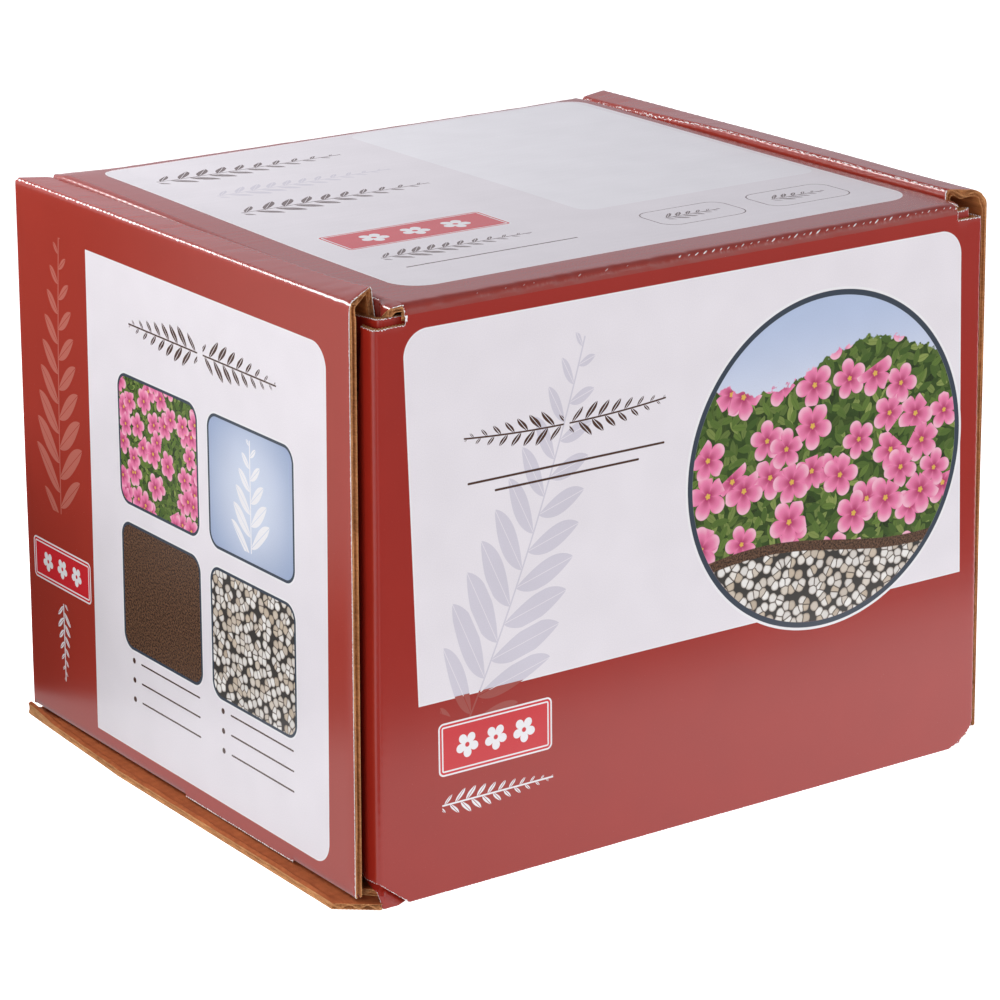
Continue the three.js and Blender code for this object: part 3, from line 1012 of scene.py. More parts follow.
def front_panel(x, y):
    slant = x + (y - 200) * 0.028
    square = box_distance(slant, y, (26.5, 102.5, 377.5, 220), 0.2)
    round_top = box_distance(slant, y, (26.5, 140, 377.5, 294.3), 14)
    return square.low(round_top)


def front_ground(g, x, y):
    panel_ground(g, RED_FRONT, front_panel(x, y))


def front_watermark(g, x, y):
    inside = cover(front_panel(x, y) + 0.8)
    mask = sprig(x, y, (58, 88), 63, 200, 40, 19, 0.10, 0.27)
    g.lay(g.mixed((0.375, 0.075, 0.058), LILAC, inside), mask)


def front_medallion(g, x, y):
    ring = disc_distance(x, y, MEDALLION, MEDALLION_RADIUS)
    g.lay(WHITE_INK, cover(ring - 1.4))
    g.lay(SLATE, cover(ring))
    picture = cover(ring + 3.0)
    height = (y - 170) * (1 / 100)
    g.lay(g.mixed((0.76, 0.78, 0.86), (0.46, 0.55, 0.74), height.ramp(0.2, 1.0)), picture)
    ridge = (x * 0.045).sin() * 9 + g.noise(g.join(x * 0.2, y * 0.2), 3.0) * 16
    print_hedge(g, x, y, picture * (y - ridge - 228).ramp(0.6, -0.6))


def front_bank(g, x, y):
    picture = cover(disc_distance(x, y, MEDALLION, MEDALLION_RADIUS - 3.0))
    bank = y - (x * 0.03 + 0.6).sin() * 6 - 132
    print_soil(g, x, y, picture * bank.ramp(6.0, 5.4))
    print_pebbles(g, x, y, picture * bank.ramp(0.3, -0.3))


def front_print():
    design = Print("print_front", front_ground, washboard=0.003)
    design.add((20, 80, 215, 300), front_watermark)
    design.add(around(MEDALLION, MEDALLION_RADIUS + 2), front_medallion)
    design.add((205, 88, 370, 146), front_bank)
    design.add((56, 218, 118, 246), draw_sprig, BROWN, 1, (118, 232), 180, 60, 10, 8.0, -0.05)
    design.add((120, 218, 184, 246), draw_sprig, BROWN, 1, (121, 232), 0, 60, 10, 8.0, 0.05)
    design.add((58, 210, 182, 213), draw_bar, BROWN, 60, 211, 180, 212.2)
    design.add((74, 204, 166, 207), draw_bar, BROWN, 76, 205, 164, 206.2)
    design.add((40, 62, 110, 91), draw_badge, 40.5, 62.4, 109.3, 90.6)
    design.add((40, 38, 112, 56), draw_sprig, WHITE_INK, 1, (42, 47), 0, 68, 8, 6.5)
    design.add((NOTCH_X - 1, 298, NOTCH_X + 3.5, 303), torn_tip)
    return design


def torn_tip(g, x, y):
    """White fibre where the liner has torn beside the lid's notch."""
    ragged = g.noise(g.join(x * 0.9, y * 0.9, 3.0), 2.0) * 1.6
    g.wear_and_glints = (x - (NOTCH_X + 0.7 + ragged)).ramp(0.15, -0.15) * y.ramp(298.6, 299.6)


# the sides
RIM_EDGE = HEIGHT + RIM_WIDTH   # the rim's inner fold on the side's print
PICTURES = ((62, 154, 146, 226), (156, 154, 240, 226), (62, 72, 146, 144), (156, 72, 240, 144))


def side_ground(g, y, z):
    slant = y + (z - 150) * 0.010
    rounded = box_distance(slant, z, (31.6, 14, 272.7, 285), 13)
    square = box_distance(slant, z, (80, 14, 272.7, 285), 0.3)
    panel_ground(g, RED_SIDE, rounded.low(square))


def side_picture(g, y, z, which):
    """A framed, rounded picture of blossoms, glaze, stones or soil."""
    corners = PICTURES[which]
    d = box_distance(y, z, corners, 9)
    g.lay(WHITE_INK, cover(d - 1.0))
    g.lay(SLATE, cover(d))
    mask = cover(d + 1.6)
    middle = ((corners[0] + corners[2]) / 2, (corners[1] + corners[3]) / 2)
    if which == 0:
        print_glaze(g, y, z, mask, middle, 48)
        g.lay(WHITE_INK, sprig(y, z, (middle[0], corners[1] + 6), 90, 60, 22, 12) * mask)
    elif which == 1:
        print_hedge(g, y, z, mask, 0.62)
    elif which == 2:
        print_pebbles(g, y, z, mask, 4.6)
    else:
        print_soil(g, y, z, mask)


def side_list(g, y, z):
    """Two columns of plain rules with dots."""
    row = ((z - 38.5) * (1 / 11)).floor().high(0.0).low(2.0) * 11 + 44
    for start in (66, 160):
        rule = (y - (start + 31)).abs().high(31.0) - 31.0 + (z - row).abs() - 0.5
        dot = disc_distance(y, z - row, (start + 70, 0), 1.6)
        g.lay(BROWN, cover(rule.low(dot)))


def side_print(name, mirrored):
    design = Print(name, side_ground, washboard=0.003)
    for which, (y0, z0, y1, z1) in enumerate(PICTURES):
        design.add((y0 - 1, z0 - 1, y1 + 1, z1 + 1), side_picture, which)
    design.add((74, 240, 150, 268), draw_sprig, BROWN, 1, (149, 254), 180, 72, 12, 9.0)
    design.add((153, 240, 230, 268), draw_sprig, BROWN, 1, (154, 254), 0, 72, 12, 9.0)
    design.add((62, 38, 236, 72), side_list)
    design.add((276, 124, 342, 290), draw_sprig, (0.52, 0.16, 0.12), 0.85,
               (309, 128), 91, 158, 30, 17, 0.03)
    design.add((276, 83, 344, 109), draw_badge, 277, 84, 343, 108)
    design.add((296, 28, 324, 78), draw_sprig, WHITE_INK, 1, (310, 76), -90, 46, 9, 7.0)
    if mirrored:
        # Painted glints along the right rim's inner fold.
        design.add((0, 326, 250, 334), crease_glint_flakes, RIM_EDGE, 3.4, 1.0, 1.5, 2, 0.71)
        design.add((250, 326, 350, 336), crease_glint_flakes, RIM_EDGE + 0.8, 2.6, 1.5, 2.6, 5, 0.76)
    else:
        # Along the outer fold: cracked ink and painted glints.
        design.add((0, 307, 350, 313), crease_wear_and_glints, HEIGHT, FLUTE * 0.62, 1.45, 0.66, 1)
        design.add((210, 307, 350, 313), crease_wear_and_glints, HEIGHT + 0.1, FLUTE * 0.62, 1.5, 0.80, 1)
        design.add((0, 307, 62, 313), front_crack)
        design.add((69, 3, 178, 8), crease_wear_and_glints, 4.9, 2.0, 1.25, 0.65, 11)
        # A faint painted highlight line along the rim's inner fold.
        design.add((0, 328, 350, 333), crease_wear_and_glints, RIM_EDGE, FLUTE * 1.2, 5.0, 0.32, 2, 0.15, 0.6)
    return design


def front_crack(g, y, z):
    """The outer fold is cracked right through at its front end."""
    wave = g.noise(g.join(y * 0.16, 4.0), 2.0)
    g.mark_wear_and_glints((z - HEIGHT + (wave - 0.5) * 2.2).abs().ramp(0.85, 0.45) * y.ramp(56, 40))


# the lid
def lid_ground(g, x, y):
    slant_x, slant_y = x - (y - 24) * 0.006, y - (x - 200) * 0.012
    panel_ground(g, RED_TOP, box_distance(slant_x, slant_y, (42, 25.5, 367, 343), 18))


def lid_label(g, x, y):
    g.lay((0.860, 0.850, 0.880), cover(box_distance(x, y, (207, 106, 364, 340), 9)))


def lid_emblem(g, x, y, *corners):
    d = box_distance(x, y, corners, 9)
    g.lay(BROWN, cover(d.abs() - 0.35))
    foot = ((corners[0] + corners[2]) / 2 - 18, (corners[1] + corners[3]) / 2)
    g.lay(BROWN, sprig(x, y, foot, 0, 36, 9, 6.5))


def lid_print():
    design = Print("print_lid", lid_ground, washboard=0.010)
    design.add((206, 105, 365, 341), lid_label)
    design.add((58, 280, 180, 320), draw_sprig, BROWN, 1, (60, 300), 0, 118, 16, 12.0)
    design.add((58, 190, 180, 230), draw_sprig, BROWN, 1, (60, 210), 0, 118, 16, 12.0)
    design.add((68, 236, 182, 270), draw_sprig, LILAC, 1, (70, 252), 0, 110, 14, 10.0)
    design.add((61, 105, 163, 141), draw_badge, 62, 106, 162, 140)
    design.add((64, 70, 160, 98), draw_sprig, BROWN, 1, (66, 84), 0, 92, 12, 9.0)
    design.add((64, 59, 172, 63), draw_bar, BROWN, 66, 60, 170, 61.4)
    design.add((221, 51, 277, 85), lid_emblem, 222, 52, 276, 84)
    design.add((291, 51, 347, 85), lid_emblem, 292, 52, 346, 84)
    # Painted glints along the lid's front fold, with some rubbed ink; below it, painted sheen streaks.
    design.add((25, -4, 190, 4), crease_wear_and_glints, 0.0, 5.6, 0.9, 0.32, 3, 0.55, 0.5, -1.8)
    design.add((190, -4, 373, 4), crease_wear_and_glints, 0.0, 4.9, 1.3, 0.50, 3, 0.0, 1.0, -2.0)
    design.add((70, -7, 215, 0), painted_fold_sheen, 0.12)
    design.add((215, -7, 373, 0), painted_fold_sheen, 0.28)
    return design


def back_print():
    design = Print("print_back", flat_ink(RED_SIDE), washboard=0.003)
    for box, foot, angle in (((60, 50, 240, 240), (70, 60), 52), ((160, 50, 340, 240), (328, 60), 128)):
        design.add(box, draw_sprig, (0.50, 0.115, 0.085), 1, foot, angle, 190, 34, 20, 0.02)
    return design


# ---------------------------------------------------------------- kraft
def kraft_board(name, light, dark, relief=0.05, streak=0.14):
    """Brown liner: long fibres, flecks, glue lines of the flutes underneath."""
    g = Graph(name)
    x, y, z = g.split(g.attribute("rest", "Vector"))
    fibre = g.noise(g.join(x * 0.55, y * 0.12, z * 0.9), 4.0, 0.7)
    fleck = g.noise(g.join(x * 1.7, y * 1.7, z * 1.7), 3.0, 0.7)
    cloud = g.noise(g.join(x * 0.04, y * 0.04, z * 0.04), 2.0)
    u, v = g.plane()
    line = (v * (2 * math.pi / FLUTE)).sin()
    tone = (fibre - 0.5) * 0.9 + (cloud - 0.5) * 0.5 + (fleck - 0.5) * 0.5 + line * streak + 0.5
    colour = g.mixed(dark, light, tone.ramp(0.0, 1.0))
    colour = g.mixed(colour, (0.16, 0.075, 0.035), fleck.ramp(0.66, 0.72) * 0.5)
    g.surface(Base_Color=colour, Roughness=0.86, Specular_IOR_Level=0.2)
    g.relief(fibre * relief + fleck * relief + line * 0.04)
    return g.material


def torn_white():
    """The cut or torn edge of the printed liner: white fibre with a little brown showing."""
    g = Graph("torn_white")
    tear = g.noise(g.attribute("rest", "Vector"), 4.0, 0.7)
    colour = g.mixed((0.55, 0.33, 0.19), (0.90, 0.88, 0.86), tear.ramp(0.30, 0.46))
    g.surface(Base_Color=colour, Roughness=0.9)
    g.relief(tear * 0.2)
    return g.material


KRAFT = kraft_board("kraft_liner", (0.700, 0.300, 0.100), (0.360, 0.125, 0.036))
# Painted shade: a darker, redder copy of the kraft for the ledge under the side walls and the tray floor,
# standing in for their shadow and for red light bounced off the print.
KRAFT_SHADED = kraft_board("kraft_shaded", (0.480, 0.135, 0.042), (0.250, 0.056, 0.016), 0.09, 0.05)
KRAFT_CUT = kraft_board("kraft_cut", (0.840, 0.430, 0.180), (0.240, 0.075, 0.022), 0.20, 0.0)
PLAIN = [KRAFT_SHADED, KRAFT, KRAFT_CUT, KRAFT_CUT]
PRINTED = [None, KRAFT, torn_white(), KRAFT_CUT]   # the print takes the place of None
RED_INK = Print("print_red", flat_ink(RED_FRONT), washboard=0.003)
RED_LID = Print("print_red_lid", flat_ink(RED_TOP), washboard=0.010)


# ---------------------------------------------------------------- the side walls
def side_wall(side):
    top, inner, foot = L_OUT, L_OUT + RIM_WIDTH, L_OUT + RIM_WIDTH + L_IN
    corners = [(SIDE_FRONT, 0), (69, 0), (69, -1.0), (178, -1.0), (178, 0), (SIDE_BACK, 0),
               (SIDE_BACK, top), (INNER_BACK, inner), (INNER_BACK, foot)]
    kinds = ["folded", "cut", "cut", "cut", "folded", "hidden", "hidden", "hidden", "hidden"]
    for start in (205, 90):
        corners += [(start + 60, foot), (start + 60, foot + 3.4), (start, foot + 3.4), (start, foot)]
        kinds += ["hidden"] * 4
    if side < 0:
        corners += [(INNER_FRONT, foot), (INNER_FRONT, inner + 20), (INNER_FRONT + 4.6, inner),
                    (SIDE_FRONT, top)]
        kinds += ["cut", "cut", "cut", "clean"]
    else:
        corners += [(INNER_FRONT, foot), (INNER_FRONT, inner), (SIDE_FRONT, top)]
        kinds += ["cut", "tidy", "tidy"]
    points = np.concatenate([
        grid_points(span(SIDE_FRONT, SIDE_BACK, 9), span(0, foot, 10)),
        crease_points(SIDE_FRONT, SIDE_BACK, top, 1.5),
        crease_points(SIDE_FRONT, SIDE_BACK, inner, 1.5),
        grid_points(span(SIDE_FRONT, SIDE_BACK, 2.0), [2.0, 4.0, 6.5]),
    ])

    def lift(u, v):
        flute = np.sin(2 * math.pi * u / FLUTE)
        near_outer = gauss(v - top, 3.2)
        near_inner = gauss(v - inner, 3.0)
        rim_mid = gauss(v - (top + inner) / 2, 6.0)
        bands = noise2(u / 8.5, v / 40.0, 17) + 0.4 * noise2(u / 3.9, v / 30.0, 18) - 0.7
        h = 0.08 * flute * (near_outer + near_inner) - 0.12 * near_outer
        h += 0.30 * bands * rim_mid
        h += 0.35 * (noise2(u / 60.0, v / 70.0, 11 + side) - 0.5) * step01(v, 0, 30)
        return h + bulge(u, v) + 0.3 * swollen(u, v)

    def bulge(u, v):
        """The right wall bows out towards its top front corner."""
        if side < 0:
            return 0.0
        return 2.1 * v / 300 * (1 - step01(u, SIDE_FRONT, 90)) * (1 - step01(v, top - 10, top - 1))

    def swollen(u, v):
        """The left wall's front edge has opened a little."""
        if side > 0:
            return 0.0
        return (1 - step01(u, SIDE_FRONT + 0.5, SIDE_FRONT + 6)) * (1 - step01(v, top - 6, top - 1))

    def under(u, v):
        """The inner liner has come loose and hangs crumpled at the right rim's front."""
        if side < 0:
            return -0.6 * swollen(u, v)
        ragged = 0.6 + 0.8 * noise2(u / 4.0, v / 2.5, 13)
        return bulge(u, v) - 2.3 * gauss(v - (inner - 8.0), 3.4) * ragged * (1 - step01(u, 12, 48))

    suffix = SUFFIX[side]
    obj = board(f"side_wall_{suffix}", side_fold(side), corners, kinds, PRINTED,
                design=side_print(f"print_side_{suffix}", side > 0), points=points, flute_axis=1,
                phase=1.3, lift=lift, under=under, seed=21 + side,
                uv=lambda u, v: np.stack([u, v + SIDE_FOOT], axis=1))
    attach(obj, "tray")
    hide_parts(f"outer_wall_{suffix}", f"rim_{suffix}", f"inner_wall_{suffix}")


# ---------------------------------------------------------------- lid and front fold
def lid_sheet():
    left, right = NOTCH_X, WIDTH - NOTCH_X
    front = SEAM_BACK
    end = SEAM_BACK + (LID_TOP - SEAM_Z)
    corners = [(left, 0), (right, 0), (right, front - 7), (right, end), (left, end), (left, front - 7)]
    kinds = ["seam", "seam", "cut", "seam", "cut", "seam"]
    points = np.concatenate([
        grid_points(span(left, right, 9), span(0, front, 9)),
        crease_points(left, right, front, 1.5),
    ])

    def lift(u, v):
        inland = step01(np.minimum(u - left, right - u), 0, 25) * step01(v, 0, 25)
        h = 0.5 * (noise2(u / 80.0, v / 80.0, 31) - 0.5) * inland * (1 - step01(v, front - 30, front - 6))
        near = gauss(v - front, 3.6) * (1 - step01(v, end - 2.0, end))
        h += near * (0.55 * noise1(u / 5.5, 33) + 0.3 * noise1(u / 2.3, 34) - 0.85)
        return h

    obj = board("lid_sheet", lid_fold, corners, kinds, PRINTED, design=lid_print(), points=points,
                phase=0.4, lift=lift, seed=35,
                uv=lambda u, v: np.stack([u, SEAM_BACK - v], axis=1))
    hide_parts("lid_panel")
    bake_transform(obj)


# ---------------------------------------------------------------- dust flaps
def dust_flap(side):
    lip = NOTCH_X - RIM_WIDTH - 0.3
    foot = lip + (LID_TOP - 243.7)
    tip = 0.0 if side < 0 else 2.4
    corners = [(0.6, 0), (SEAM_BACK, 0), (DEPTH - 1.2, 0.8), (DEPTH - 1.5, 2.0), (DEPTH - 6, lip + 4),
               (334, lip + 9), (334, foot - 12), (322, foot), (29, foot), (17, foot - 12),
               (12 + tip, lip + 12), (8.5 + tip, lip + 6.5), (2.2 + 2 * tip, lip + 1.0),
               (1.2 + 2 * tip, lip - 0.6)]
    kinds = ["seam", "seam", "clean", "clean", "clean", "hidden", "hidden", "hidden", "hidden",
             "cut", "tidy", "tidy", "tidy", "cut"]
    points = np.concatenate([
        grid_points(span(0, DEPTH, 9), span(0, foot, 9)),
        crease_points(0, DEPTH, lip, 1.5, NEAR[4:]),
    ])

    def lift(u, v):
        flute = np.sin(2 * math.pi * u / FLUTE)
        return 0.06 * flute * gauss(v - lip, 2.6) * step01(v, 0.2, 1.5)

    suffix = SUFFIX[side]
    obj = board(f"dust_flap_{suffix}_sheet", dust_fold(side), corners, kinds, PRINTED, design=RED_LID,
                points=points, flute_axis=1, phase=2.0, lift=lift, seed=41 + side,
                uv=lambda u, v: np.stack([NOTCH_X - v, u], axis=1))
    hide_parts(f"dust_flap_{suffix}")
    x0, x1 = NOTCH_X, RIM_WIDTH + 0.3
    if side > 0:
        x0, x1 = WIDTH - x0, WIDTH - x1
    place(x0, 175, LID_TOP)
    place(x1, 175, LID_TOP - 4.6)
    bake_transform(obj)


# ---------------------------------------------------------------- front flap with ears
EAR_TOP = NOTCH_Z - 0.3


def ear_rear(z):
    return np.minimum(11.27 + (LID_TOP - z) ** 2 / 682.0, 62.0)


def front_flap():
    inset = 8.0

    def left_x(z):
        return inset - float(lean_at(z))

    def half(rounded, notch):
        """One side from the foot upwards: (u, v, kind of the edge that follows)."""
        foot_u = left_x(13.8) + 17.5
        rows_up = [(foot_u, FLAP_FOOT, "cut")]
        for k in range(1, 6):
            t = k / 6
            bend = 4 * t * (1 - t) * rounded
            u = foot_u + t * (left_x(13.8) - foot_u) - bend * 0.6
            rows_up.append((u, FLAP_FOOT + t * (13.8 - FLAP_FOOT) - bend * 0.8, "cut"))
        rows_up += [
            (left_x(13.6), 13.6, "cut"),
            (left_x(13.2) - 4.0, 13.3, "cut"),
            (left_x(12.8) - 12.5, 12.8, "cut"),
            (left_x(22) - 26, 22, "hidden"),
            (left_x(60) - 62, 60, "hidden"),
        ]
        for z in np.linspace(121.5, 292, 7):
            rows_up.append((left_x(z) - float(ear_rear(z)), z, "hidden"))
        rows_up += [
            (left_x(EAR_TOP) - float(ear_rear(EAR_TOP)), EAR_TOP + notch, "ragged"),
            (left_x(NOTCH_Z), EAR_TOP + 0.1 + notch, "ragged"),
            (NOTCH_X, NOTCH_Z + notch, "cut"),
            (NOTCH_X, SEAM_Z, "seam"),
        ]
        return rows_up

    corners, kinds = both_halves(half(0.0, -0.3), half(2.2, 1.0))
    points = np.concatenate([
        grid_points(span(-60, WIDTH + 60, 9), span(0, SEAM_Z, 9)),
        *leaning_crease_points(inset, span(12, 298, 2.0)),
        grid_points(span(NOTCH_X, WIDTH - NOTCH_X, 2.0), [300.6, 299.0, 297.0, 294.5]),
        grid_points(span(10, WIDTH - 10, 4.0), [2.5, 5.0, 9.0]),
    ])

    def lift(u, v):
        hollow = 0.4 * (noise2(u / 85.0, v / 85.0, 51) - 1.0) * step01(SEAM_Z - v, 2, 35)
        return leaning_crease_flutes(u, v, inset) + hollow

    obj = board("front_flap_sheet", box_fold(inset, 0.0, 1.0, 2.0, 0.9), corners, kinds, PRINTED,
                design=front_print(), points=points, phase=0.9, lift=lift, seed=55)
    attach(obj, "front_flap")
    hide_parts("front_flap_panel", "front_flap_ear_left", "front_flap_ear_right")


# ---------------------------------------------------------------- front and back walls
def end_wall(name, face, inward, top, nodes, seed, design):
    """A wall with its corner flaps. inward is +1 for the front wall and -1 for the back wall."""
    start, reach = 7.9, 92

    def left_x(z):
        return WALL_INSET - float(lean_at(z))

    def half(rise):
        return [
            (left_x(0) + 0.6, 0.0, "cut"),
            (left_x(0) - 0.4, 0.8, "cut"),
            (left_x(3.9) - 1.4, 3.9, "cut"),
            (left_x(start) - 4.6, start, "hidden"),
            (left_x(start + 14) - reach, start + 14, "hidden"),
            (left_x(top - 14) - reach, top - 14, "hidden"),
            (left_x(top) - 24, top - 2.0, "ragged"),
            (left_x(top), top + rise, "ragged"),
            (NOTCH_X + 2.0, top + rise * 0.3, "cut"),
            (NOTCH_X + 6.0, top, "cut"),
        ]

    corners, kinds = both_halves(half(0.0), half(2.0 if inward > 0 else 0.0))
    points = np.concatenate([
        grid_points(span(-reach, WIDTH + reach, 12), span(0, top, 12)),
        *leaning_crease_points(WALL_INSET, span(2, top - 2, 2.5)),
    ])
    straight = box_fold(WALL_INSET, face, inward)

    def fold(u, v, h):
        """The front wall's lower left corner is pushed out under the flap's cut corner."""
        p = straight(u, v, h)
        if inward > 0:
            below = -0.623 * (p[:, 0] - 3.4 - 3.6) - 0.782 * (p[:, 2] - 13.4)
            out = step01(below, 0.3, 3.2) * (p[:, 0] < WIDTH / 2)
            p[:, 0] -= 3.4 * out
            p[:, 1] -= 3.5 * out
        return p

    obj = board(name, fold, corners, kinds, PRINTED, design=design, points=points, phase=1.9, seed=seed,
                lift=lambda u, v: leaning_crease_flutes(u, v, WALL_INSET))
    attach(obj, "tray")
    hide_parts(*nodes)


def back_fold():
    """The crease between the back wall and the lid."""
    at = LID_TOP - FOLD_FOOT
    low, end = at - (LID_TOP - BACK_TOP), at + DEPTH - SEAM_BACK
    left, right = NOTCH_X, WIDTH - NOTCH_X
    corners = [(left, low), (right, low), (right, end), (left, end)]

    def lift(u, v):
        between = step01(v, low, low + 2) * (1 - step01(v, end - 2, end))
        return gauss(v - at, 3.6) * (0.3 * noise1(u / 5.5, 63) - 0.3) * between

    obj = board("rear_fold", back_fold_map, corners, ["seam"] * 4, PRINTED, design=RED_LID,
                points=crease_points(left, right, at, 2.0), lift=lift, seed=61, rows_at=PLAIN_ROWS,
                uv=lambda u, v: np.stack([u, DEPTH + at - v], axis=1))
    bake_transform(obj)


# ---------------------------------------------------------------- bottom
def base_sheet():
    wall = WALL_INSET - LEAN - 0.3
    outer_v = (15.5, 235.0, 257.0, 295.0, 321.0, 349.5)
    outer_u = (-14.0, -14.0, -12.8, -11.2, -10.0, -8.5)
    rear = [(wall, 349.5), (wall, 346.2)]
    left = [(wall, 7.8), (7.4, 3.6), (6.0, 0.5), (4.6, 0.4), *zip(outer_u, outer_v), *rear]
    right = [(wall, 7.8), (-1.0, 12.0), (-14.0, 30.0), *zip(outer_u[1:], outer_v[1:]), *rear]
    corners = left + [(WIDTH - u, v) for u, v in right][::-1]
    kinds = ["hidden", "cut", "cut", "cut"] + ["crushed"] * 5 + ["cut", "hidden", "hidden"]
    kinds += ["hidden", "cut"] + ["crushed"] * 5 + ["cut", "hidden", "hidden"]
    points = np.concatenate([
        grid_points(span(0, WIDTH, 12), span(0, DEPTH, 12)),
        grid_points(np.concatenate([span(-13, 3, 1.0), span(WIDTH - 3, WIDTH + 13, 1.0)]),
                    span(1, 348, 2.4)),
    ])

    def lift(u, v):
        """Fine wrinkles, a raised lip near the outer edge, and the left rear corner turned up."""
        outer = np.interp(v, outer_v, outer_u)
        w = np.minimum(u - outer, WIDTH - outer - u)
        on_ledge = 1 - step01(w, 12, 16)
        h = 0.3 * (noise2(u / 4.0, v / 9.0, 71) - 0.6) * on_ledge
        uneven = 0.7 + 0.6 * noise1(v / 13.0, 73)
        h += 1.2 * gauss(w - 1.6, 1.2) * uneven * step01(v, 14, 24)
        curl = step01(v, 312, 347) * (u < WIDTH / 2)
        h += curl * (2.6 * (1 - step01(w, 1.5, 5.0)) - 1.2 * gauss(w - 8.0, 2.2))
        return h

    obj = board("base_sheet", flat_fold(BOARD), corners, kinds, PLAIN, points=points, lift=lift, seed=75,
                hole_depth=3.6)
    obj.visible_glossy = False
    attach(obj, "tray")
    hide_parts("base_panel")


def floor_sheet():
    half_low = 3.8 - LEAN
    corners = [(half_low, 19.0), (9.5, 7.8), (WIDTH - 9.5, 7.8), (WIDTH - half_low, 19.0),
               (WIDTH - half_low, 346.2), (half_low, 346.2)]
    holes = []
    for start in (90, 205):
        for x0, x1 in ((12.45, 16.5), (WIDTH - 16.5, WIDTH - 12.45)):
            holes.append([(x0, start - 0.3), (x1, start - 0.3), (x1, start + 60.3), (x0, start + 60.3)])
    points = grid_points(span(0, WIDTH, 12), span(8, 346, 12))
    obj = board("tray_floor_sheet", flat_fold(7.3), corners, ["hidden"] * 6, PLAIN, points=points,
                holes=holes, seed=81, rows_at=PLAIN_ROWS)
    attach(obj, "tray")
    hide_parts("tray_floor")


for side in (-1, 1):
    side_wall(side)
lid_sheet()
for side in (-1, 1):
    dust_flap(side)
front_flap()
end_wall("front_wall_sheet", WALL_FRONT, 1.0, WALL_TOP,
         ["front_wall", "front_corner_flap_left", "front_corner_flap_right"], 91, RED_INK)
end_wall("back_wall_sheet", DEPTH, -1.0, BACK_TOP,
         ["back_wall", "back_corner_flap_left", "back_corner_flap_right"], 95, back_print())
back_fold()
base_sheet()
floor_sheet()


# ---------------------------------------------------------------- camera, floor and light
CAMERA_TURN = (34.29043, 17.63277, -0.64159)   # degrees: yaw from y towards x, pitch downwards, roll
CAMERA_AIM = (181.315, 150.0, 142.403)
CAMERA_DISTANCE = 2015.394
CAMERA_LENS = 133.84
FLOOR_GLOW = 0.85
SKY_STRENGTH = 0.74
SKY_LOW, SKY_HIGH = (0.66, 0.65, 0.67, 1), (0.15, 0.15, 0.16, 1)
SKY_BETWEEN = (
    (0.46, (0.72, 0.71, 0.73, 1)),
    (0.54, (0.84, 0.83, 0.92, 1)),
    (0.67, (0.94, 0.92, 1.0, 1)),
    (0.78, (0.40, 0.39, 0.42, 1)),
)


def set_camera():
    """The camera that was fitted to the photo's corners and edges. It looks through its aim."""
    yaw, pitch, roll = (math.radians(angle) for angle in CAMERA_TURN)
    data = bpy.data.cameras.new("camera")
    data.sensor_width = 36.0
    data.lens = CAMERA_LENS
    camera = bpy.data.objects.new("camera", data)
    bpy.context.scene.collection.objects.link(camera)
    camera.matrix_world = (
        Matrix.Translation(place(*CAMERA_AIM))
        @ Matrix.Rotation(-yaw, 4, "Z") @ Matrix.Rotation(math.pi / 2 - pitch, 4, "X")
        @ Matrix.Rotation(roll, 4, "Z") @ Matrix.Translation((0, 0, CAMERA_DISTANCE / 1000)))
    bpy.context.scene.camera = camera


def stage_plane(name, material, at=(0, 0, 0), size=12, **visible):
    """A plane for the stage; visible says which rays see it."""
    bpy.ops.mesh.primitive_plane_add(size=size, location=at)
    plane = bpy.context.object
    plane.name = name
    plane.data.materials.append(material)
    for kind, seen in visible.items():
        setattr(plane, f"visible_{kind}", seen)
    return plane


def studio_floor():
    """The floor as the camera sees it."""
    g = Graph("floor_pale")
    coordinates = g.nodes.new("ShaderNodeTexCoord")
    grain = g.noise(coordinates.outputs["Object"], 2.0)
    g.surface(Base_Color=g.mixed((0.86, 0.86, 0.87), (0.90, 0.90, 0.91), grain), Roughness=0.8,
              Emission_Color=(1.0, 1.0, 1.0), Emission_Strength=FLOOR_GLOW)
    floor = stage_plane("studio_floor", g.material, diffuse=False, glossy=False)


def mirrored_floor():
    """The floor as gloss on the carton sees it: no shadow of the carton, brighter to the front right."""
    g = Graph("floor_mirrored")
    x, _, _ = g.object_place()
    g.surface(Base_Color=(0.0, 0.0, 0.0), Specular_IOR_Level=0.0, Emission_Color=(0.98, 0.97, 1.0),
              Emission_Strength=(x * 1.3 + 0.95).high(0.68).low(1.4))
    floor = stage_plane("studio_floor_mirrored", g.material, camera=False, diffuse=False, shadow=False)


def dark_flag(name, start, end, height, glow=0.0, gloss=True):
    """A black board on the floor that the camera doesn't see: it dims either gloss or soft light."""
    a, b = Vector((*start, 0)), Vector((*end, 0))
    middle = (a + b) / 2
    g = Graph(name)
    g.surface(Base_Color=(0.02, 0.02, 0.02))
    if glow:
        along, up, _ = g.object_place()
        g.surface(Emission_Color=(1.0, 1.0, 1.0),
                  Emission_Strength=up.ramp(-0.32, -0.08) * along.ramp(0.30, -0.30) * glow)
    flag = stage_plane(name, g.material, (middle.x, middle.y, height / 2), 1, camera=False, glossy=gloss,
                       diffuse=not gloss, shadow=False, transmission=False)
    flag.scale = ((b - a).length, height, 1)
    flag.rotation_euler = (math.radians(90), 0, math.atan2(b.y - a.y, b.x - a.x))


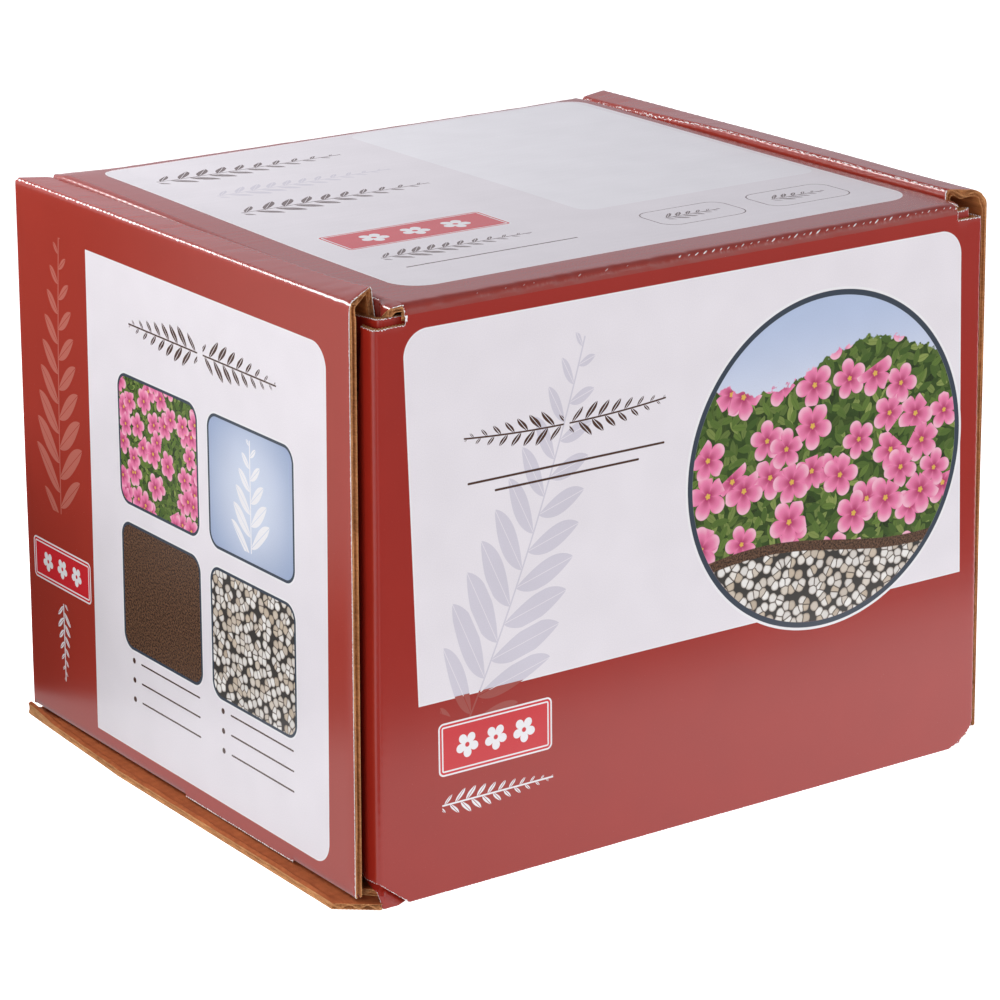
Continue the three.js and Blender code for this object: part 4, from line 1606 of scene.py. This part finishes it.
def area_light(name, at, aim, size, power):
    data = bpy.data.lights.new(name, "AREA")
    data.shape = "RECTANGLE"
    data.size, data.size_y = size
    data.energy = power
    lamp = bpy.data.objects.new(name, data)
    lamp.location = at
    lamp.rotation_euler = (Vector(aim) - Vector(at)).to_track_quat("-Z", "Y").to_euler()
    bpy.context.scene.collection.objects.link(lamp)
    return lamp


def sky():
    """Soft studio surround: bright low down, dimmer overhead, grey below the horizon."""
    world = bpy.data.worlds.new("studio")
    bpy.context.scene.world = world
    world.use_nodes = True
    nodes, links = world.node_tree.nodes, world.node_tree.links
    coordinates = nodes.new("ShaderNodeTexCoord")
    split = nodes.new("ShaderNodeSeparateXYZ")
    height = nodes.new("ShaderNodeMapRange")
    height.inputs["From Min"].default_value = -1.0
    ramp = nodes.new("ShaderNodeValToRGB")
    links.new(coordinates.outputs["Generated"], split.inputs[0])
    links.new(split.outputs["Z"], height.inputs["Value"])
    links.new(height.outputs["Result"], ramp.inputs[0])
    links.new(ramp.outputs[0], nodes["Background"].inputs["Color"])
    stops = ramp.color_ramp.elements
    stops[0].color, stops[1].color = SKY_LOW, SKY_HIGH
    for at, colour in SKY_BETWEEN:
        stops.new(at).color = colour
    nodes["Background"].inputs["Strength"].default_value = SKY_STRENGTH


set_camera()
studio_floor()
mirrored_floor()
dark_flag("flag_front", (-0.18, -0.37), (1.42, -0.37), 0.6)
dark_flag("flag_left", (-0.350, 0.018), (-0.2032, 0.229), 0.30, glow=0.42)
dark_flag("flag_corner", (-0.34, -0.19), (-0.21, -0.32), 0.36, glow=0.3)
dark_flag("shade_left", (-0.290, 0.105), (-0.212, 0.216), 0.15, gloss=False)
area_light("key", (-0.5, 0.6, 0.8), (-0.15, 0.05, 0.25), (0.4, 0.4), 7)
area_light("side", (-1.2, -0.6, 0.38), (-0.1, 0, 0.12), (0.9, 0.9), 7)
area_light("fill", (1.3, -1.5, 0.7), (0, 0, 0.15), (1.2, 1.0), 16)
bounce = area_light("bounce", (0.1, -0.6, 0.03), (0.1, -0.175, 0.06), (1.0, 0.3), 0.55)
bounce.visible_glossy = False
bounce.visible_camera = False
sky()
bpy.context.scene.view_settings.view_transform = "Standard"
